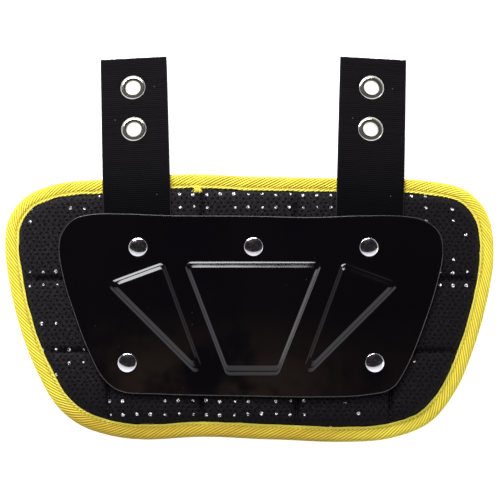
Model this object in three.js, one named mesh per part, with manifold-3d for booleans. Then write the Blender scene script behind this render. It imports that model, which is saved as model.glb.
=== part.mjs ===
// A football back plate, lying with its hard plate up.
// A quilted foam pad in mesh cloth is bound round its edge with folded tape. A moulded plate with three
// raised panels is riveted over it, and two webbing hangers with grommets come out from under the plate.
// Every piece is laid out flat, with the pad's middle at the origin and the pad's back face at height 0,
// and is then bent over one shallow arch, so that the gaps between the pieces stay the same.

import * as THREE from "three";
import { mergeVertices } from "three/addons/utils/BufferGeometryUtils.js";
import { TessellateModifier } from "three/addons/modifiers/TessellateModifier.js";
import Module from "manifold-3d";

const wasm = await Module();
wasm.setup();

// Clearance left between touching pieces
const gap = 0.3;

// Pad
const padWidth = 368;
const padHeight = 200;
const padThickness = 14;
const padShoulder = 8;
const seamPitchAcross = 69.5;
const seamPitchUp = 54;
const seamRowShift = -5.5;
const seamWidth = 7;
const frontSeamDepth = 4;
const backSeamDepth = 2;

// Tape bound over the pad's edge
const tapeLap = 11;
const tapeThickness = 1.2;
const boundEdgeThickness = 6.5;
const boundEdgeBase = 1.5;

// Arch over the wearer's back
const archRise = 12;
const archEdgeInset = 5;
const archTaper = 0.31;
const widestUp = 0.46;

// Hard plate
const plateWidth = 286;
const plateHeight = 136;
const plateThickness = 2.5;
const plateShiftAcross = 1.2;
const plateShiftUp = 1;
const plateChamfer = 0.6;
const panelRise = 2.6;
const panelShiftAcross = 1.5;
const panelCorner = 4;
const panelTopCorner = 1.6;
const walls = { upper: 6, side: 3.4, foot: 8.5, outer: 5.2 };

// Rivets and their washers
const rivetHead = 14;
const rivetHeadHeight = 2.8;
const rivetShank = 5;
const rivetPeen = 8;
const rivetPeenHeight = 0.8;
const rivetInset = 25.3;
const lowerRivetPitch = 182;
const washerWidth = 16;
const washerThickness = 1;

// Hangers
const strapWidth = 50.8;
const strapThickness = 2;
const strapPitch = 171;
const strapShiftAcross = 1.9;
const strapLeanDegrees = 2.3;
const strapTail = 18;
const strapReach = 147.8;
const strapFlatRun = 8;
const tabSlope = 0.165;

// Grommets
const grommetWidth = 19;
const grommetHole = 11;
const grommetBarrel = 13.4;
const grommetFlange = 1.1;
const grommetBackFlange = 0.8;
const grommetPitch = 33;
const grommetFromTip = 23.9;
const grommetShiftAcross = -0.9;

// Facets
const outlineSteps = 72;
const longestFacet = 40;
const roundSides = 16;
const edgeOverlap = 1;

// The pad's outline from the top middle round by the left: shares of half its width and half its height
const padOutline = [
  { across: -0.005, up: 0.984 },
  { across: -0.242, up: 1.001 },
  { across: -0.595, up: 0.967 },
  { across: -0.792, up: 0.938 },
  { across: -0.925, up: 0.835 },
  { across: -0.99, up: 0.662 },
  { across: -1.001, up: 0.472 },
  { across: -0.978, up: 0.169 },
  { across: -0.926, up: -0.192 },
  { across: -0.858, up: -0.491 },
  { across: -0.779, up: -0.729 },
  { across: -0.684, up: -0.87 },
  { across: -0.561, up: -0.948 },
  { across: -0.419, up: -0.977 },
  { across: -0.198, up: -0.959 },
  { across: 0.091, up: -0.977 },
  { across: 0.38, up: -0.995 },
  { across: 0.575, up: -0.966 },
  { across: 0.731, up: -0.851 },
  { across: 0.839, up: -0.61 },
  { across: 0.91, up: -0.311 },
  { across: 0.961, up: -0.011 },
  { across: 0.999, up: 0.351 },
  { across: 0.993, up: 0.624 },
  { across: 0.959, up: 0.775 },
  { across: 0.881, up: 0.902 },
  { across: 0.732, up: 0.959 },
  { across: 0.338, up: 0.973 },
];

// The plate's outline, the same way round: shares of half the plate's width and height
const plateOutline = [
  { across: -0.005, up: 0.969 },
  { across: -0.42, up: 0.978 },
  { across: -0.655, up: 1 },
  { across: -0.825, up: 0.999 },
  { across: -0.922, up: 0.947 },
  { across: -0.981, up: 0.811 },
  { across: -1, up: 0.655 },
  { across: -0.976, up: 0.31 },
  { across: -0.91, up: -0.119 },
  { across: -0.846, up: -0.465 },
  { across: -0.762, up: -0.794 },
  { across: -0.675, up: -0.932 },
  { across: -0.469, up: -0.968 },
  { across: -0.005, up: -0.99 },
  { across: 0.322, up: -1 },
  { across: 0.584, up: -0.978 },
  { across: 0.724, up: -0.906 },
  { across: 0.8, up: -0.69 },
  { across: 0.91, up: -0.134 },
  { across: 0.973, up: 0.285 },
  { across: 1, up: 0.584 },
  { across: 0.981, up: 0.799 },
  { across: 0.908, up: 0.929 },
  { across: 0.806, up: 0.975 },
  { across: 0.579, up: 0.979 },
  { across: 0.326, up: 0.957 },
];

// The raised panels' corners, each with the wall that runs from it to the next corner: shares of half the
// plate's width and height. The right panel is the left one mirrored.
const centrePanel = [
  { across: -0.364, up: 0.475, wall: "side" },
  { across: -0.136, up: -0.771, wall: "foot" },
  { across: 0.129, up: -0.771, wall: "side" },
  { across: 0.364, up: 0.475, wall: "upper" },
];
const leftPanel = [
  { across: -0.461, up: 0.475, wall: "upper" },
  { across: -0.769, up: 0.241, wall: "outer" },
  { across: -0.218, up: -0.91, wall: "side" },
];

// The pad's rounded edge inside the tape, from its back to its front. Inward is a share of the shoulder
// past the tape, and height a share of the pad's thickness.
const backShoulder = [
  { inward: 1, height: 0 },
  { inward: 0.45, height: 0.04 },
];
const frontShoulder = [
  { inward: 0.1, height: 0.72 },
  { inward: 0.45, height: 0.93 },
  { inward: 1, height: 1 },
];

// Half of the folded tape's section, from the middle of the fold to the tape's edge. Inward is a share of
// the lap, and rise a share of half the bound edge's thickness. The tape lies flat from the fold's end on.
const tapeFold = { inward: 0.3, rise: 1 };
const tapeSection = [
  { inward: 0, rise: 0 },
  { inward: 0.06, rise: 0.68 },
  tapeFold,
  { inward: 1, rise: 1 },
];

// The dome of a rivet's head: shares of its radius and height
const rivetDome = [
  { out: 1, up: 0 },
  { out: 0.97, up: 0.3 },
  { out: 0.78, up: 0.7 },
  { out: 0.45, up: 0.93 },
  { out: 0, up: 1 },
];

const rivets = [
  { name: "top_left", side: -1, row: 1 },
  { name: "top_centre", side: 0, row: 1 },
  { name: "top_right", side: 1, row: 1 },
  { name: "lower_left", side: -1, row: -1 },
  { name: "lower_right", side: 1, row: -1 },
];

// Heights over the pad's back face
const strapSeat = padThickness - strapThickness;
const plateBack = padThickness + gap;
const plateFront = plateBack + plateThickness;
const upperRivetUp = plateShiftUp + plateHeight / 2 - rivetInset;
const lowerRivetUp = plateShiftUp - plateHeight / 2 + rivetInset;
const strapLean = THREE.MathUtils.degToRad(strapLeanDegrees);

// Where the hanger starts to bend down past the plate, and where it is straight again over the pad's edge
const bendStart = rivetInset + strapFlatRun;
const bendEnd = padHeight / 2 - upperRivetUp - boundEdgeBase;

const finishes = {
  meshCloth: new THREE.MeshStandardMaterial({ color: 0x242021, roughness: 0.9, metalness: 0 }),
  bindingTape: new THREE.MeshStandardMaterial({ color: 0xf3de4a, roughness: 0.8, metalness: 0 }),
  glossShell: new THREE.MeshStandardMaterial({ color: 0x08070a, roughness: 0.15, metalness: 0 }),
  webbing: new THREE.MeshStandardMaterial({ color: 0x141216, roughness: 0.6, metalness: 0 }),
  nickel: new THREE.MeshStandardMaterial({ color: 0xc8c6cc, roughness: 0.2, metalness: 1 }),
  washerSteel: new THREE.MeshStandardMaterial({ color: 0x8c8c90, roughness: 0.4, metalness: 1 }),
};

// Half the arch's span at a height up the pad. It follows the pad's side, which narrows below its widest place.
function archHalfSpan(up) {
  const down = Math.max(0, (widestUp * padHeight / 2 - up) / ((1 + widestUp) * padHeight / 2));
  return (padWidth / 2 - archEdgeInset) * (1 - archTaper * down ** 2);
}

function archHeight(x, y) {
  return archRise * (1 - (x / archHalfSpan(y)) ** 2);
}

function archSlope(x, y) {
  return -2 * archRise * x / archHalfSpan(y) ** 2;
}

// Only positions and shared vertices are kept, as a closed solid needs
function merged(geometry) {
  const bare = new THREE.BufferGeometry();
  bare.setAttribute("position", geometry.getAttribute("position").clone());
  if (geometry.index) {
    bare.setIndex(geometry.index.clone());
  }
  return mergeVertices(bare, 1e-4);
}

function toSolid(geometry) {
  const shared = merged(geometry);
  const vertProperties = Float32Array.from(shared.getAttribute("position").array);
  const triVerts = Uint32Array.from(shared.index.array);
  return new wasm.Manifold(new wasm.Mesh({ numProp: 3, vertProperties, triVerts }));
}

function toGeometry(solid) {
  const mesh = solid.getMesh();
  const geometry = new THREE.BufferGeometry();
  geometry.setAttribute("position", new THREE.BufferAttribute(mesh.vertProperties, 3));
  geometry.setIndex(new THREE.BufferAttribute(mesh.triVerts, 1));
  return geometry;
}

// Long facets are split, and each vertex is raised by the arch below it
function bend(solid) {
  const split = merged(new TessellateModifier(longestFacet, 24).modify(toGeometry(solid)));
  const position = split.getAttribute("position");
  for (let i = 0; i < position.count; i++) {
    const rise = archHeight(position.getX(i), position.getY(i));
    position.setZ(i, position.getZ(i) + rise);
  }
  return split;
}

// A skin through loops of as many points each, from the lowest up. A ring joins the last loop to the first,
// and otherwise both end loops are capped.
function loft(loops, ring = false) {
  const count = loops[0].length;
  const index = [];
  const rows = ring ? loops.length : loops.length - 1;
  for (let row = 0; row < rows; row++) {
    const low = row * count;
    const high = ((row + 1) % loops.length) * count;
    for (let i = 0; i < count; i++) {
      const j = (i + 1) % count;
      index.push(low + i, low + j, high + j);
      index.push(low + i, high + j, high + i);
    }
  }
  if (!ring) {
    const last = (loops.length - 1) * count;
    for (const [a, b, c] of THREE.ShapeUtils.triangulateShape(loops[0], [])) {
      index.push(a, c, b);
    }
    for (const [a, b, c] of THREE.ShapeUtils.triangulateShape(loops.at(-1), [])) {
      index.push(last + a, last + b, last + c);
    }
  }
  const geometry = new THREE.BufferGeometry();
  const places = loops.flat().flatMap((p) => p.toArray());
  geometry.setAttribute("position", new THREE.Float32BufferAttribute(places, 3));
  geometry.setIndex(index);
  return geometry;
}

function smoothLoop(table, width, height, shiftAcross, shiftUp) {
  const knots = table.map(({ across, up }) => (
    new THREE.Vector3(shiftAcross + across * width / 2, shiftUp + up * height / 2, 0)
  ));
  const curve = new THREE.CatmullRomCurve3(knots, true, "centripetal");
  return curve.getSpacedPoints(outlineSteps).slice(0, -1);
}

// The loop moved inwards by a distance and set at a height
function insetLoop(loop, distance, height) {
  return loop.map((point, i) => {
    const along = loop[(i + 1) % loop.length].clone().sub(loop.at(i - 1)).normalize();
    return new THREE.Vector3(point.x - along.y * distance, point.y + along.x * distance, height);
  });
}

function uprightCylinder(radius, low, high, x, y) {
  const geometry = new THREE.CylinderGeometry(radius, radius, high - low, roundSides);
  geometry.rotateX(Math.PI / 2);
  geometry.translate(x, y, (low + high) / 2);
  return toSolid(geometry);
}

function lathe(profile) {
  const points = profile.map(([radius, height]) => new THREE.Vector2(radius, height));
  const geometry = new THREE.LatheGeometry(points, roundSides);
  geometry.rotateX(Math.PI / 2);
  return geometry;
}

function rivetPlace({ side, row }) {
  if (row > 0) {
    return { x: plateShiftAcross + strapShiftAcross + side * strapPitch / 2, y: upperRivetUp };
  }
  return { x: plateShiftAcross + side * lowerRivetPitch / 2, y: lowerRivetUp };
}

// A hanger's own directions on the floor plan: the hangers lean apart towards their free ends
function strapPlan(side, across, along) {
  const root = rivetPlace({ side, row: 1 });
  const lean = side * strapLean;
  return {
    x: root.x + across * Math.cos(lean) + along * Math.sin(lean),
    y: root.y - across * Math.sin(lean) + along * Math.cos(lean),
  };
}

// How far a hanger has dropped at a distance from its rivet: level, then a bend, then a straight slope
function strapDrop(along) {
  const bendLength = bendEnd - bendStart;
  const inBend = THREE.MathUtils.clamp(along - bendStart, 0, bendLength);
  const beyond = Math.max(0, along - bendEnd);
  return tabSlope * (inBend ** 2 / (2 * bendLength) + beyond);
}

// The hanger follows the arch under the plate, and its tab is the flat plane that touches the arch
function strapBase(side, across, along) {
  const place = strapPlan(side, across, along);
  const root = strapPlan(side, 0, bendEnd);
  const plane = archHeight(root.x, root.y) + archSlope(root.x, root.y) * across;
  const share = THREE.MathUtils.smoothstep(along, bendStart, bendEnd);
  return THREE.MathUtils.lerp(archHeight(place.x, place.y), plane, share);
}

// A flat band along a hanger's line, between two heights over its base
function band({ side, halfWidth, stations, low, high, base }) {
  const columns = [-1, -0.5, 0, 0.5, 1].map((share) => share * halfWidth);
  const loops = stations.map((along) => {
    const at = (across, height) => {
      const place = strapPlan(side, across, along);
      return new THREE.Vector3(place.x, place.y, base(side, across, along) + height(along));
    };
    const under = columns.map((across) => at(across, low));
    const over = columns.toReversed().map((across) => at(across, high));
    return [...under, ...over];
  });
  return endedLoft(loops);
}

// A skin through upright loops, capped by a strip across each end
function endedLoft(loops) {
  const count = loops[0].length;
  const last = (loops.length - 1) * count;
  const index = [];
  for (let row = 0; row < loops.length - 1; row++) {
    const near = row * count;
    const far = near + count;
    for (let i = 0; i < count; i++) {
      const j = (i + 1) % count;
      index.push(near + i, near + j, far + j);
      index.push(near + i, far + j, far + i);
    }
  }
  for (let i = 0; i < count / 2 - 1; i++) {
    const j = count - 1 - i;
    index.push(i, j, i + 1, i + 1, j, j - 1);
    index.push(last + i, last + i + 1, last + j, last + i + 1, last + j - 1, last + j);
  }
  const geometry = new THREE.BufferGeometry();
  const places = loops.flat().flatMap((p) => p.toArray());
  geometry.setAttribute("position", new THREE.Float32BufferAttribute(places, 3));
  geometry.setIndex(index.reverse());
  return geometry;
}

function bendStations(steps) {
  return Array.from({ length: steps + 1 }, (_, i) => bendStart + (bendEnd - bendStart) * i / steps);
}

// A straight V-shaped channel, open at the face it is cut into
function seamCutter(length, depth, angle, x, y, face, upwards) {
  const open = depth + edgeOverlap;
  const half = seamWidth / 2 * open / depth;
  const section = new THREE.Shape([
    new THREE.Vector2(0, 0),
    new THREE.Vector2(half, open),
    new THREE.Vector2(-half, open),
  ]);
  const geometry = new THREE.ExtrudeGeometry(section, { depth: length, bevelEnabled: false });
  geometry.translate(0, 0, -length / 2);
  geometry.rotateX(Math.PI / 2);
  if (!upwards) {
    geometry.rotateY(Math.PI);
  }
  geometry.rotateZ(angle);
  geometry.translate(x, y, upwards ? face - depth : face + depth);
  return toSolid(geometry);
}

function seamCutters() {
  const columns = [-1.5, -0.5, 0.5, 1.5].map((share) => (
    { length: 2 * padHeight, angle: 0, x: share * seamPitchAcross, y: 0 }
  ));
  const rows = [-0.5, 0.5].map((share) => (
    { length: 2 * padWidth, angle: Math.PI / 2, x: 0, y: seamRowShift + share * seamPitchUp }
  ));
  return [...columns, ...rows].flatMap(({ length, angle, x, y }) => [
    seamCutter(length, frontSeamDepth, angle, x, y, padThickness, true),
    seamCutter(length, backSeamDepth, angle, x, y, 0, false),
  ]);
}

// The foam under a hanger is pressed down by the hanger's thickness
function strapPocket(side) {
  return toSolid(band({
    side,
    halfWidth: strapWidth / 2 + gap,
    stations: [-strapTail - gap, 0, ...bendStations(4), bendEnd + boundEdgeBase],
    low: (along) => strapSeat - gap - strapDrop(along),
    high: () => padThickness + edgeOverlap,
    base: () => 0,
  }));
}

function makePad() {
  const loop = smoothLoop(padOutline, padWidth, padHeight, 0, 0);
  const lapEdge = tapeLap + gap;
  const foldEdge = tapeThickness + tapeFold.inward * (tapeLap - tapeThickness) + gap;
  const flangeLow = boundEdgeBase + tapeThickness + gap;
  const flangeHigh = boundEdgeBase + boundEdgeThickness - tapeThickness - gap;
  const shoulderLoop = ({ inward, height }) => (
    insetLoop(loop, lapEdge + inward * padShoulder, height * padThickness)
  );
  const body = loft([
    ...backShoulder.map(shoulderLoop),
    insetLoop(loop, lapEdge, flangeLow),
    insetLoop(loop, foldEdge, flangeLow),
    insetLoop(loop, foldEdge, flangeHigh),
    insetLoop(loop, lapEdge, flangeHigh),
    ...frontShoulder.map(shoulderLoop),
  ]);
  let solid = toSolid(body);
  for (const cutter of [...seamCutters(), strapPocket(-1), strapPocket(1)]) {
    solid = solid.subtract(cutter);
  }
  for (const rivet of rivets) {
    const { x, y } = rivetPlace(rivet);
    const hole = uprightCylinder(rivetShank / 2 + gap, -edgeOverlap, padThickness + edgeOverlap, x, y);
    solid = solid.subtract(hole);
  }
  return bend(solid);
}

// The tape's section is a folded strip: its outer face from the back edge to the front edge, and then
// its inner face
function makeBinding() {
  const loop = smoothLoop(padOutline, padWidth, padHeight, 0, 0);
  const middle = boundEdgeBase + boundEdgeThickness / 2;
  const place = ({ inward, rise }, face, inner) => {
    const reach = tapeLap - (inner ? tapeThickness : 0);
    const thickness = boundEdgeThickness / 2 - (inner ? tapeThickness : 0);
    const distance = tapeLap - reach + inward * reach;
    return insetLoop(loop, distance, middle + face * rise * thickness);
  };
  const outward = tapeSection.slice(1);
  const loops = [
    ...outward.toReversed().map((row) => place(row, -1, false)),
    place(tapeSection[0], 1, false),
    ...outward.map((row) => place(row, 1, false)),
    ...outward.toReversed().map((row) => place(row, 1, true)),
    place(tapeSection[0], 1, true),
    ...outward.map((row) => place(row, -1, true)),
  ];
  return bend(toSolid(loft(loops, true)));
}

// Corners rounded by arcs, with as many points at each
function roundedLoop(corners, radius, height) {
  const steps = 3;
  return corners.flatMap((corner, i) => {
    const before = corners.at(i - 1).clone().sub(corner).normalize();
    const after = corners[(i + 1) % corners.length].clone().sub(corner).normalize();
    const half = Math.acos(before.dot(after)) / 2;
    const middle = before.clone().add(after).normalize();
    const centre = middle.clone().multiplyScalar(radius / Math.sin(half)).add(corner);
    const turn = Math.PI / 2 - half;
    return Array.from({ length: steps + 1 }, (_, k) => {
      const angle = turn * (2 * k / steps - 1);
      const arm = middle.clone().rotateAround(new THREE.Vector2(), angle).multiplyScalar(-radius);
      return new THREE.Vector3(centre.x + arm.x, centre.y + arm.y, height);
    });
  });
}

// Where the walls' upper edges meet: each side of the foot moved inwards by its own wall
function topCorners(corners, widths) {
  return corners.map((corner, i) => {
    const previous = corners.at(i - 1);
    const next = corners[(i + 1) % corners.length];
    const inAlong = corner.clone().sub(previous).normalize();
    const outAlong = next.clone().sub(corner).normalize();
    const turn = inAlong.cross(outAlong);
    const inWidth = widths.at(i - 1);
    const outWidth = widths[i];
    return corner.clone()
      .addScaledVector(outAlong, inWidth / turn)
      .addScaledVector(inAlong, -outWidth / turn);
  });
}

function panelSolid(table, mirror, low, high) {
  const rows = mirror ? table.toReversed() : table;
  const corners = rows.map(({ across, up }) => new THREE.Vector2(
    plateShiftAcross + panelShiftAcross + (mirror ? -across : across) * plateWidth / 2,
    plateShiftUp + up * plateHeight / 2,
  ));
  const widths = rows.map(({ wall }, i) => walls[mirror ? rows[(i + 1) % rows.length].wall : wall]);
  const top = topCorners(corners, widths);
  return toSolid(loft([
    roundedLoop(corners, panelCorner, low),
    roundedLoop(corners, panelCorner, high - panelRise),
    roundedLoop(top, panelTopCorner, high),
  ]));
}

function makePlate() {
  const loop = smoothLoop(plateOutline, plateWidth, plateHeight, plateShiftAcross, plateShiftUp);
  let solid = toSolid(loft([
    insetLoop(loop, 0, plateBack),
    insetLoop(loop, 0, plateFront - plateChamfer),
    insetLoop(loop, plateChamfer, plateFront),
  ]));
  const panels = [[centrePanel, false], [leftPanel, false], [leftPanel, true]];
  for (const [table, mirror] of panels) {
    solid = solid.add(panelSolid(table, mirror, plateBack + gap, plateFront + panelRise));
  }
  for (const [table, mirror] of panels) {
    solid = solid.subtract(panelSolid(table, mirror, plateBack - edgeOverlap, plateBack + panelRise));
  }
  for (const rivet of rivets) {
    const { x, y } = rivetPlace(rivet);
    const radius = rivetShank / 2 + gap;
    const hole = uprightCylinder(radius, plateBack - edgeOverlap, plateFront + edgeOverlap, x, y);
    solid = solid.subtract(hole);
  }
  return bend(solid);
}

function makeRivet(rivet) {
  const { x, y } = rivetPlace(rivet);
  const headBase = plateFront + gap;
  const peenTop = -washerThickness - 2 * gap;
  const geometry = lathe([
    [0, peenTop - rivetPeenHeight],
    [rivetPeen / 2, peenTop - rivetPeenHeight],
    [rivetPeen / 2, peenTop],
    [rivetShank / 2, peenTop],
    [rivetShank / 2, headBase],
    ...rivetDome.map(({ out, up }) => [out * rivetHead / 2, headBase + up * rivetHeadHeight]),
  ]);
  geometry.translate(x, y, 0);
  return bend(toSolid(geometry));
}

function makeWasher(rivet) {
  const { x, y } = rivetPlace(rivet);
  const hole = rivetShank / 2 + gap;
  const geometry = lathe([
    [hole, -gap - washerThickness],
    [washerWidth / 2, -gap - washerThickness],
    [washerWidth / 2, -gap],
    [hole, -gap],
    [hole, -gap - washerThickness],
  ]);
  geometry.translate(x, y, 0);
  return bend(toSolid(geometry));
}

// The turned frame on a hanger's front face, at a distance from its rivet: its x runs across, y along
// and z out
function tabFrame(side, along) {
  const at = (a, b) => {
    const place = strapPlan(side, a, b);
    const height = strapBase(side, a, b) + strapSeat + strapThickness - strapDrop(b);
    return new THREE.Vector3(place.x, place.y, height);
  };
  const origin = at(grommetShiftAcross, along);
  const lengthways = at(grommetShiftAcross, along + 1).sub(origin).normalize();
  const outward = at(grommetShiftAcross + 1, along).sub(origin).cross(lengthways).normalize();
  const crossways = lengthways.clone().cross(outward);
  return new THREE.Matrix4().makeBasis(crossways, lengthways, outward).setPosition(origin);
}

function grommetAlong(place) {
  const fromTip = grommetFromTip + (place === "lower" ? grommetPitch : 0);
  return strapReach - fromTip;
}

function makeStrap(side) {
  let solid = toSolid(band({
    side,
    halfWidth: strapWidth / 2,
    stations: [-strapTail, 0, ...bendStations(5), strapReach],
    low: (along) => strapSeat - strapDrop(along),
    high: (along) => strapSeat + strapThickness - strapDrop(along),
    base: strapBase,
  }));
  const { x, y } = rivetPlace({ side, row: 1 });
  const rivetHole = uprightCylinder(rivetShank / 2 + gap, 0, padThickness + archRise + edgeOverlap, x, y);
  solid = solid.subtract(rivetHole);
  for (const place of ["upper", "lower"]) {
    const radius = grommetBarrel / 2 + gap;
    const cutter = new THREE.CylinderGeometry(radius, radius, 3 * strapThickness, roundSides);
    cutter.rotateX(Math.PI / 2);
    cutter.translate(0, 0, -strapThickness / 2);
    cutter.applyMatrix4(tabFrame(side, grommetAlong(place)));
    solid = solid.subtract(toSolid(cutter));
  }
  return merged(toGeometry(solid));
}

// A crimped grommet: a rounded front flange, a barrel through the webbing and a flat back flange
function makeGrommet() {
  const rim = grommetWidth / 2;
  const hole = grommetHole / 2;
  const back = -strapThickness - gap - grommetBackFlange;
  return lathe([
    [hole, back],
    [rim - grommetFlange / 2, back],
    [rim - grommetFlange / 2, back + grommetBackFlange],
    [grommetBarrel / 2, back + grommetBackFlange],
    [grommetBarrel / 2, gap],
    [rim, gap],
    [rim, gap + grommetFlange / 2],
    [rim - grommetFlange, gap + grommetFlange],
    [hole + grommetFlange, gap + grommetFlange],
    [hole, gap],
    [hole, back],
  ]);
}

const backPlate = new THREE.Group();

function addPiece(name, geometry, finish, parent = backPlate) {
  const piece = new THREE.Mesh(geometry, finish);
  piece.name = name;
  parent.add(piece);
}

addPiece("pad", makePad(), finishes.meshCloth);
addPiece("edge_binding", makeBinding(), finishes.bindingTape);
addPiece("hard_plate", makePlate(), finishes.glossShell);
for (const rivet of rivets) {
  addPiece(`rivet_${rivet.name}`, makeRivet(rivet), finishes.nickel);
  addPiece(`washer_${rivet.name}`, makeWasher(rivet), finishes.washerSteel);
}
for (const [name, side] of [["left", -1], ["right", 1]]) {
  addPiece(`strap_${name}`, makeStrap(side), finishes.webbing);
  for (const place of ["upper", "lower"]) {
    const holder = new THREE.Group();
    holder.applyMatrix4(tabFrame(side, grommetAlong(place)));
    addPiece(`grommet_${name}_${place}`, makeGrommet(), finishes.nickel, holder);
    backPlate.add(holder);
  }
}

// The origin is under the middle of the whole, on the surface that it lies on
const extent = new THREE.Box3().setFromObject(backPlate);
const middle = extent.getCenter(new THREE.Vector3());
backPlate.position.set(-middle.x, -middle.y, -extent.min.z);

export default backPlate;
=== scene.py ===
# %% [markdown]
# A football back plate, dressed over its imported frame.
# The real thing is a quilted foam pad bound with yellow tape. A glossy moulded plate is riveted over
# it, and two webbing hangers with grommets come out from under the plate. The frame gives every piece
# its place and size. This script makes the surfaces that are seen: padded cloth, folded tape, moulded
# plastic, woven webbing and nickel.

# %% Load the frame
import math

import bmesh
import bpy
import numpy as np
from mathutils import Matrix, Vector, noise
from mathutils.geometry import delaunay_2d_cdt


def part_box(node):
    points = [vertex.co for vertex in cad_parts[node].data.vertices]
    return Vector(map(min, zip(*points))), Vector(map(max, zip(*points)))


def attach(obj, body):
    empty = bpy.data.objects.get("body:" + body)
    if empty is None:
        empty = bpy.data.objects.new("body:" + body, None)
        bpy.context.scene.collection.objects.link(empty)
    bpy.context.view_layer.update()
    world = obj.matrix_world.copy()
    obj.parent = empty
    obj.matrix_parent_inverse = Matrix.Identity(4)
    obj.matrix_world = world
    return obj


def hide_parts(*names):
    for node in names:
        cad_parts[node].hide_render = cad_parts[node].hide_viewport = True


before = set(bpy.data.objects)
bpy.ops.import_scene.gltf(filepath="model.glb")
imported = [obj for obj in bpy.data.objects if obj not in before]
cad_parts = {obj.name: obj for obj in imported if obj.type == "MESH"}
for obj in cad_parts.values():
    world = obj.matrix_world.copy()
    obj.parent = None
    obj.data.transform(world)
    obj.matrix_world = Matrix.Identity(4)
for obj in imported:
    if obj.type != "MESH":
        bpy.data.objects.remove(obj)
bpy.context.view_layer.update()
print("nodes in the frame:", len(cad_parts))

# %% [markdown]
# The pieces are laid out flat in millimetres, with the pad's middle at the origin and its back face at
# height 0, and are then raised over one shallow arch. They could be modelled on the arch straight
# away, but working flat keeps each outline simple. Because every piece is raised by the same arch, the
# gaps between the layers stay the same everywhere.

# %% Driving sizes, in millimetres
MM = 0.001
GAP = 0.3
PAD_WIDTH = 368
PAD_HEIGHT = 200
PAD_THICKNESS = 14
PAD_SHOULDER = 8
SEAM_PITCH_ACROSS = 69.5
SEAM_PITCH_UP = 54
SEAM_ROW_SHIFT = -5.5
TAPE_LAP = 11
TAPE_THICKNESS = 1.2
BOUND_EDGE_THICKNESS = 6.5
BOUND_EDGE_BASE = 1.5
ARCH_RISE = 12
ARCH_EDGE_INSET = 5
ARCH_TAPER = 0.31
WIDEST_UP = 0.46
PLATE_WIDTH = 286
PLATE_HEIGHT = 136
PLATE_THICKNESS = 2.5
PLATE_SHIFT = (1.2, 1)
PANEL_RISE = 2.6
PANEL_SHIFT_ACROSS = 1.5
PANEL_CORNER = 4
PANEL_TOP_CORNER = 1.6
WALLS = {"upper": 6, "side": 3.4, "foot": 8.5, "outer": 5.2}
RIVET_HEAD = 14
RIVET_HEAD_HEIGHT = 2.8
RIVET_SHANK = 5
RIVET_PEEN = 8
RIVET_PEEN_HEIGHT = 0.8
RIVET_INSET = 25.3
LOWER_RIVET_PITCH = 182
WASHER_WIDTH = 16
WASHER_THICKNESS = 1
STRAP_WIDTH = 50.8
STRAP_THICKNESS = 2
STRAP_PITCH = 171
STRAP_SHIFT_ACROSS = 1.9
STRAP_LEAN = math.radians(2.3)
STRAP_TAIL = 18
STRAP_REACH = 147.8
STRAP_FLAT_RUN = 8
TAB_SLOPE = 0.165
GROMMET_BARREL = 13.4
GROMMET_PITCH = 33
GROMMET_FROM_TIP = 23.9
GROMMET_SHIFT_ACROSS = -0.9

PLATE_BACK = PAD_THICKNESS + GAP
PLATE_FRONT = PLATE_BACK + PLATE_THICKNESS
STRAP_SEAT = PAD_THICKNESS - STRAP_THICKNESS
UPPER_RIVET_UP = PLATE_SHIFT[1] + PLATE_HEIGHT / 2 - RIVET_INSET
LOWER_RIVET_UP = PLATE_SHIFT[1] - PLATE_HEIGHT / 2 + RIVET_INSET
BEND_START = RIVET_INSET + STRAP_FLAT_RUN
BEND_END = PAD_HEIGHT / 2 - UPPER_RIVET_UP - BOUND_EDGE_BASE
SEAM_COLUMNS = [share * SEAM_PITCH_ACROSS for share in (-1.5, -0.5, 0.5, 1.5)]
SEAM_ROWS = [SEAM_ROW_SHIFT + share * SEAM_PITCH_UP for share in (-0.5, 0.5)]
print("plate front face over the pad's back:", PLATE_FRONT)

# %% [markdown]
# A sewn pad and the plate on it are nearly, but not quite, symmetric. Their outlines could be drawn by
# hand as curves. Here each is a short table of places, as shares of half the width and half the
# height, and a smooth curve through them gives as many evenly spaced points as a piece needs. That way
# a change of size stretches the outline with it.

# %% Outlines, from the top middle round by the left
PAD_OUTLINE = [
    (-0.005, 0.984), (-0.242, 1.001), (-0.595, 0.967), (-0.792, 0.938), (-0.925, 0.835),
    (-0.99, 0.662), (-1.001, 0.472), (-0.978, 0.169), (-0.926, -0.192), (-0.858, -0.491),
    (-0.779, -0.729), (-0.684, -0.87), (-0.561, -0.948), (-0.419, -0.977), (-0.198, -0.959),
    (0.091, -0.977), (0.38, -0.995), (0.575, -0.966), (0.731, -0.851), (0.839, -0.61),
    (0.91, -0.311), (0.961, -0.011), (0.999, 0.351), (0.993, 0.624), (0.959, 0.775),
    (0.881, 0.902), (0.732, 0.959), (0.338, 0.973),
]
PLATE_OUTLINE = [
    (-0.005, 0.969), (-0.42, 0.978), (-0.655, 1), (-0.825, 0.999), (-0.922, 0.947),
    (-0.981, 0.811), (-1, 0.655), (-0.976, 0.31), (-0.91, -0.119), (-0.846, -0.465),
    (-0.762, -0.794), (-0.675, -0.932), (-0.469, -0.968), (-0.005, -0.99), (0.322, -1),
    (0.584, -0.978), (0.724, -0.906), (0.8, -0.69), (0.91, -0.134), (0.973, 0.285),
    (1, 0.584), (0.981, 0.799), (0.908, 0.929), (0.806, 0.975), (0.579, 0.979), (0.326, 0.957),
]
CURVE_STEPS = 60


def even_loop(loop, count):
    """The same closed line with count evenly spaced points."""
    closed = np.vstack([loop, loop[:1]])
    reach = np.concatenate([[0], np.cumsum(np.linalg.norm(np.diff(closed, axis=0), axis=1))])
    wanted = np.linspace(0, reach[-1], count, endpoint=False)
    return np.column_stack([np.interp(wanted, reach, closed[:, axis]) for axis in (0, 1)])


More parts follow.
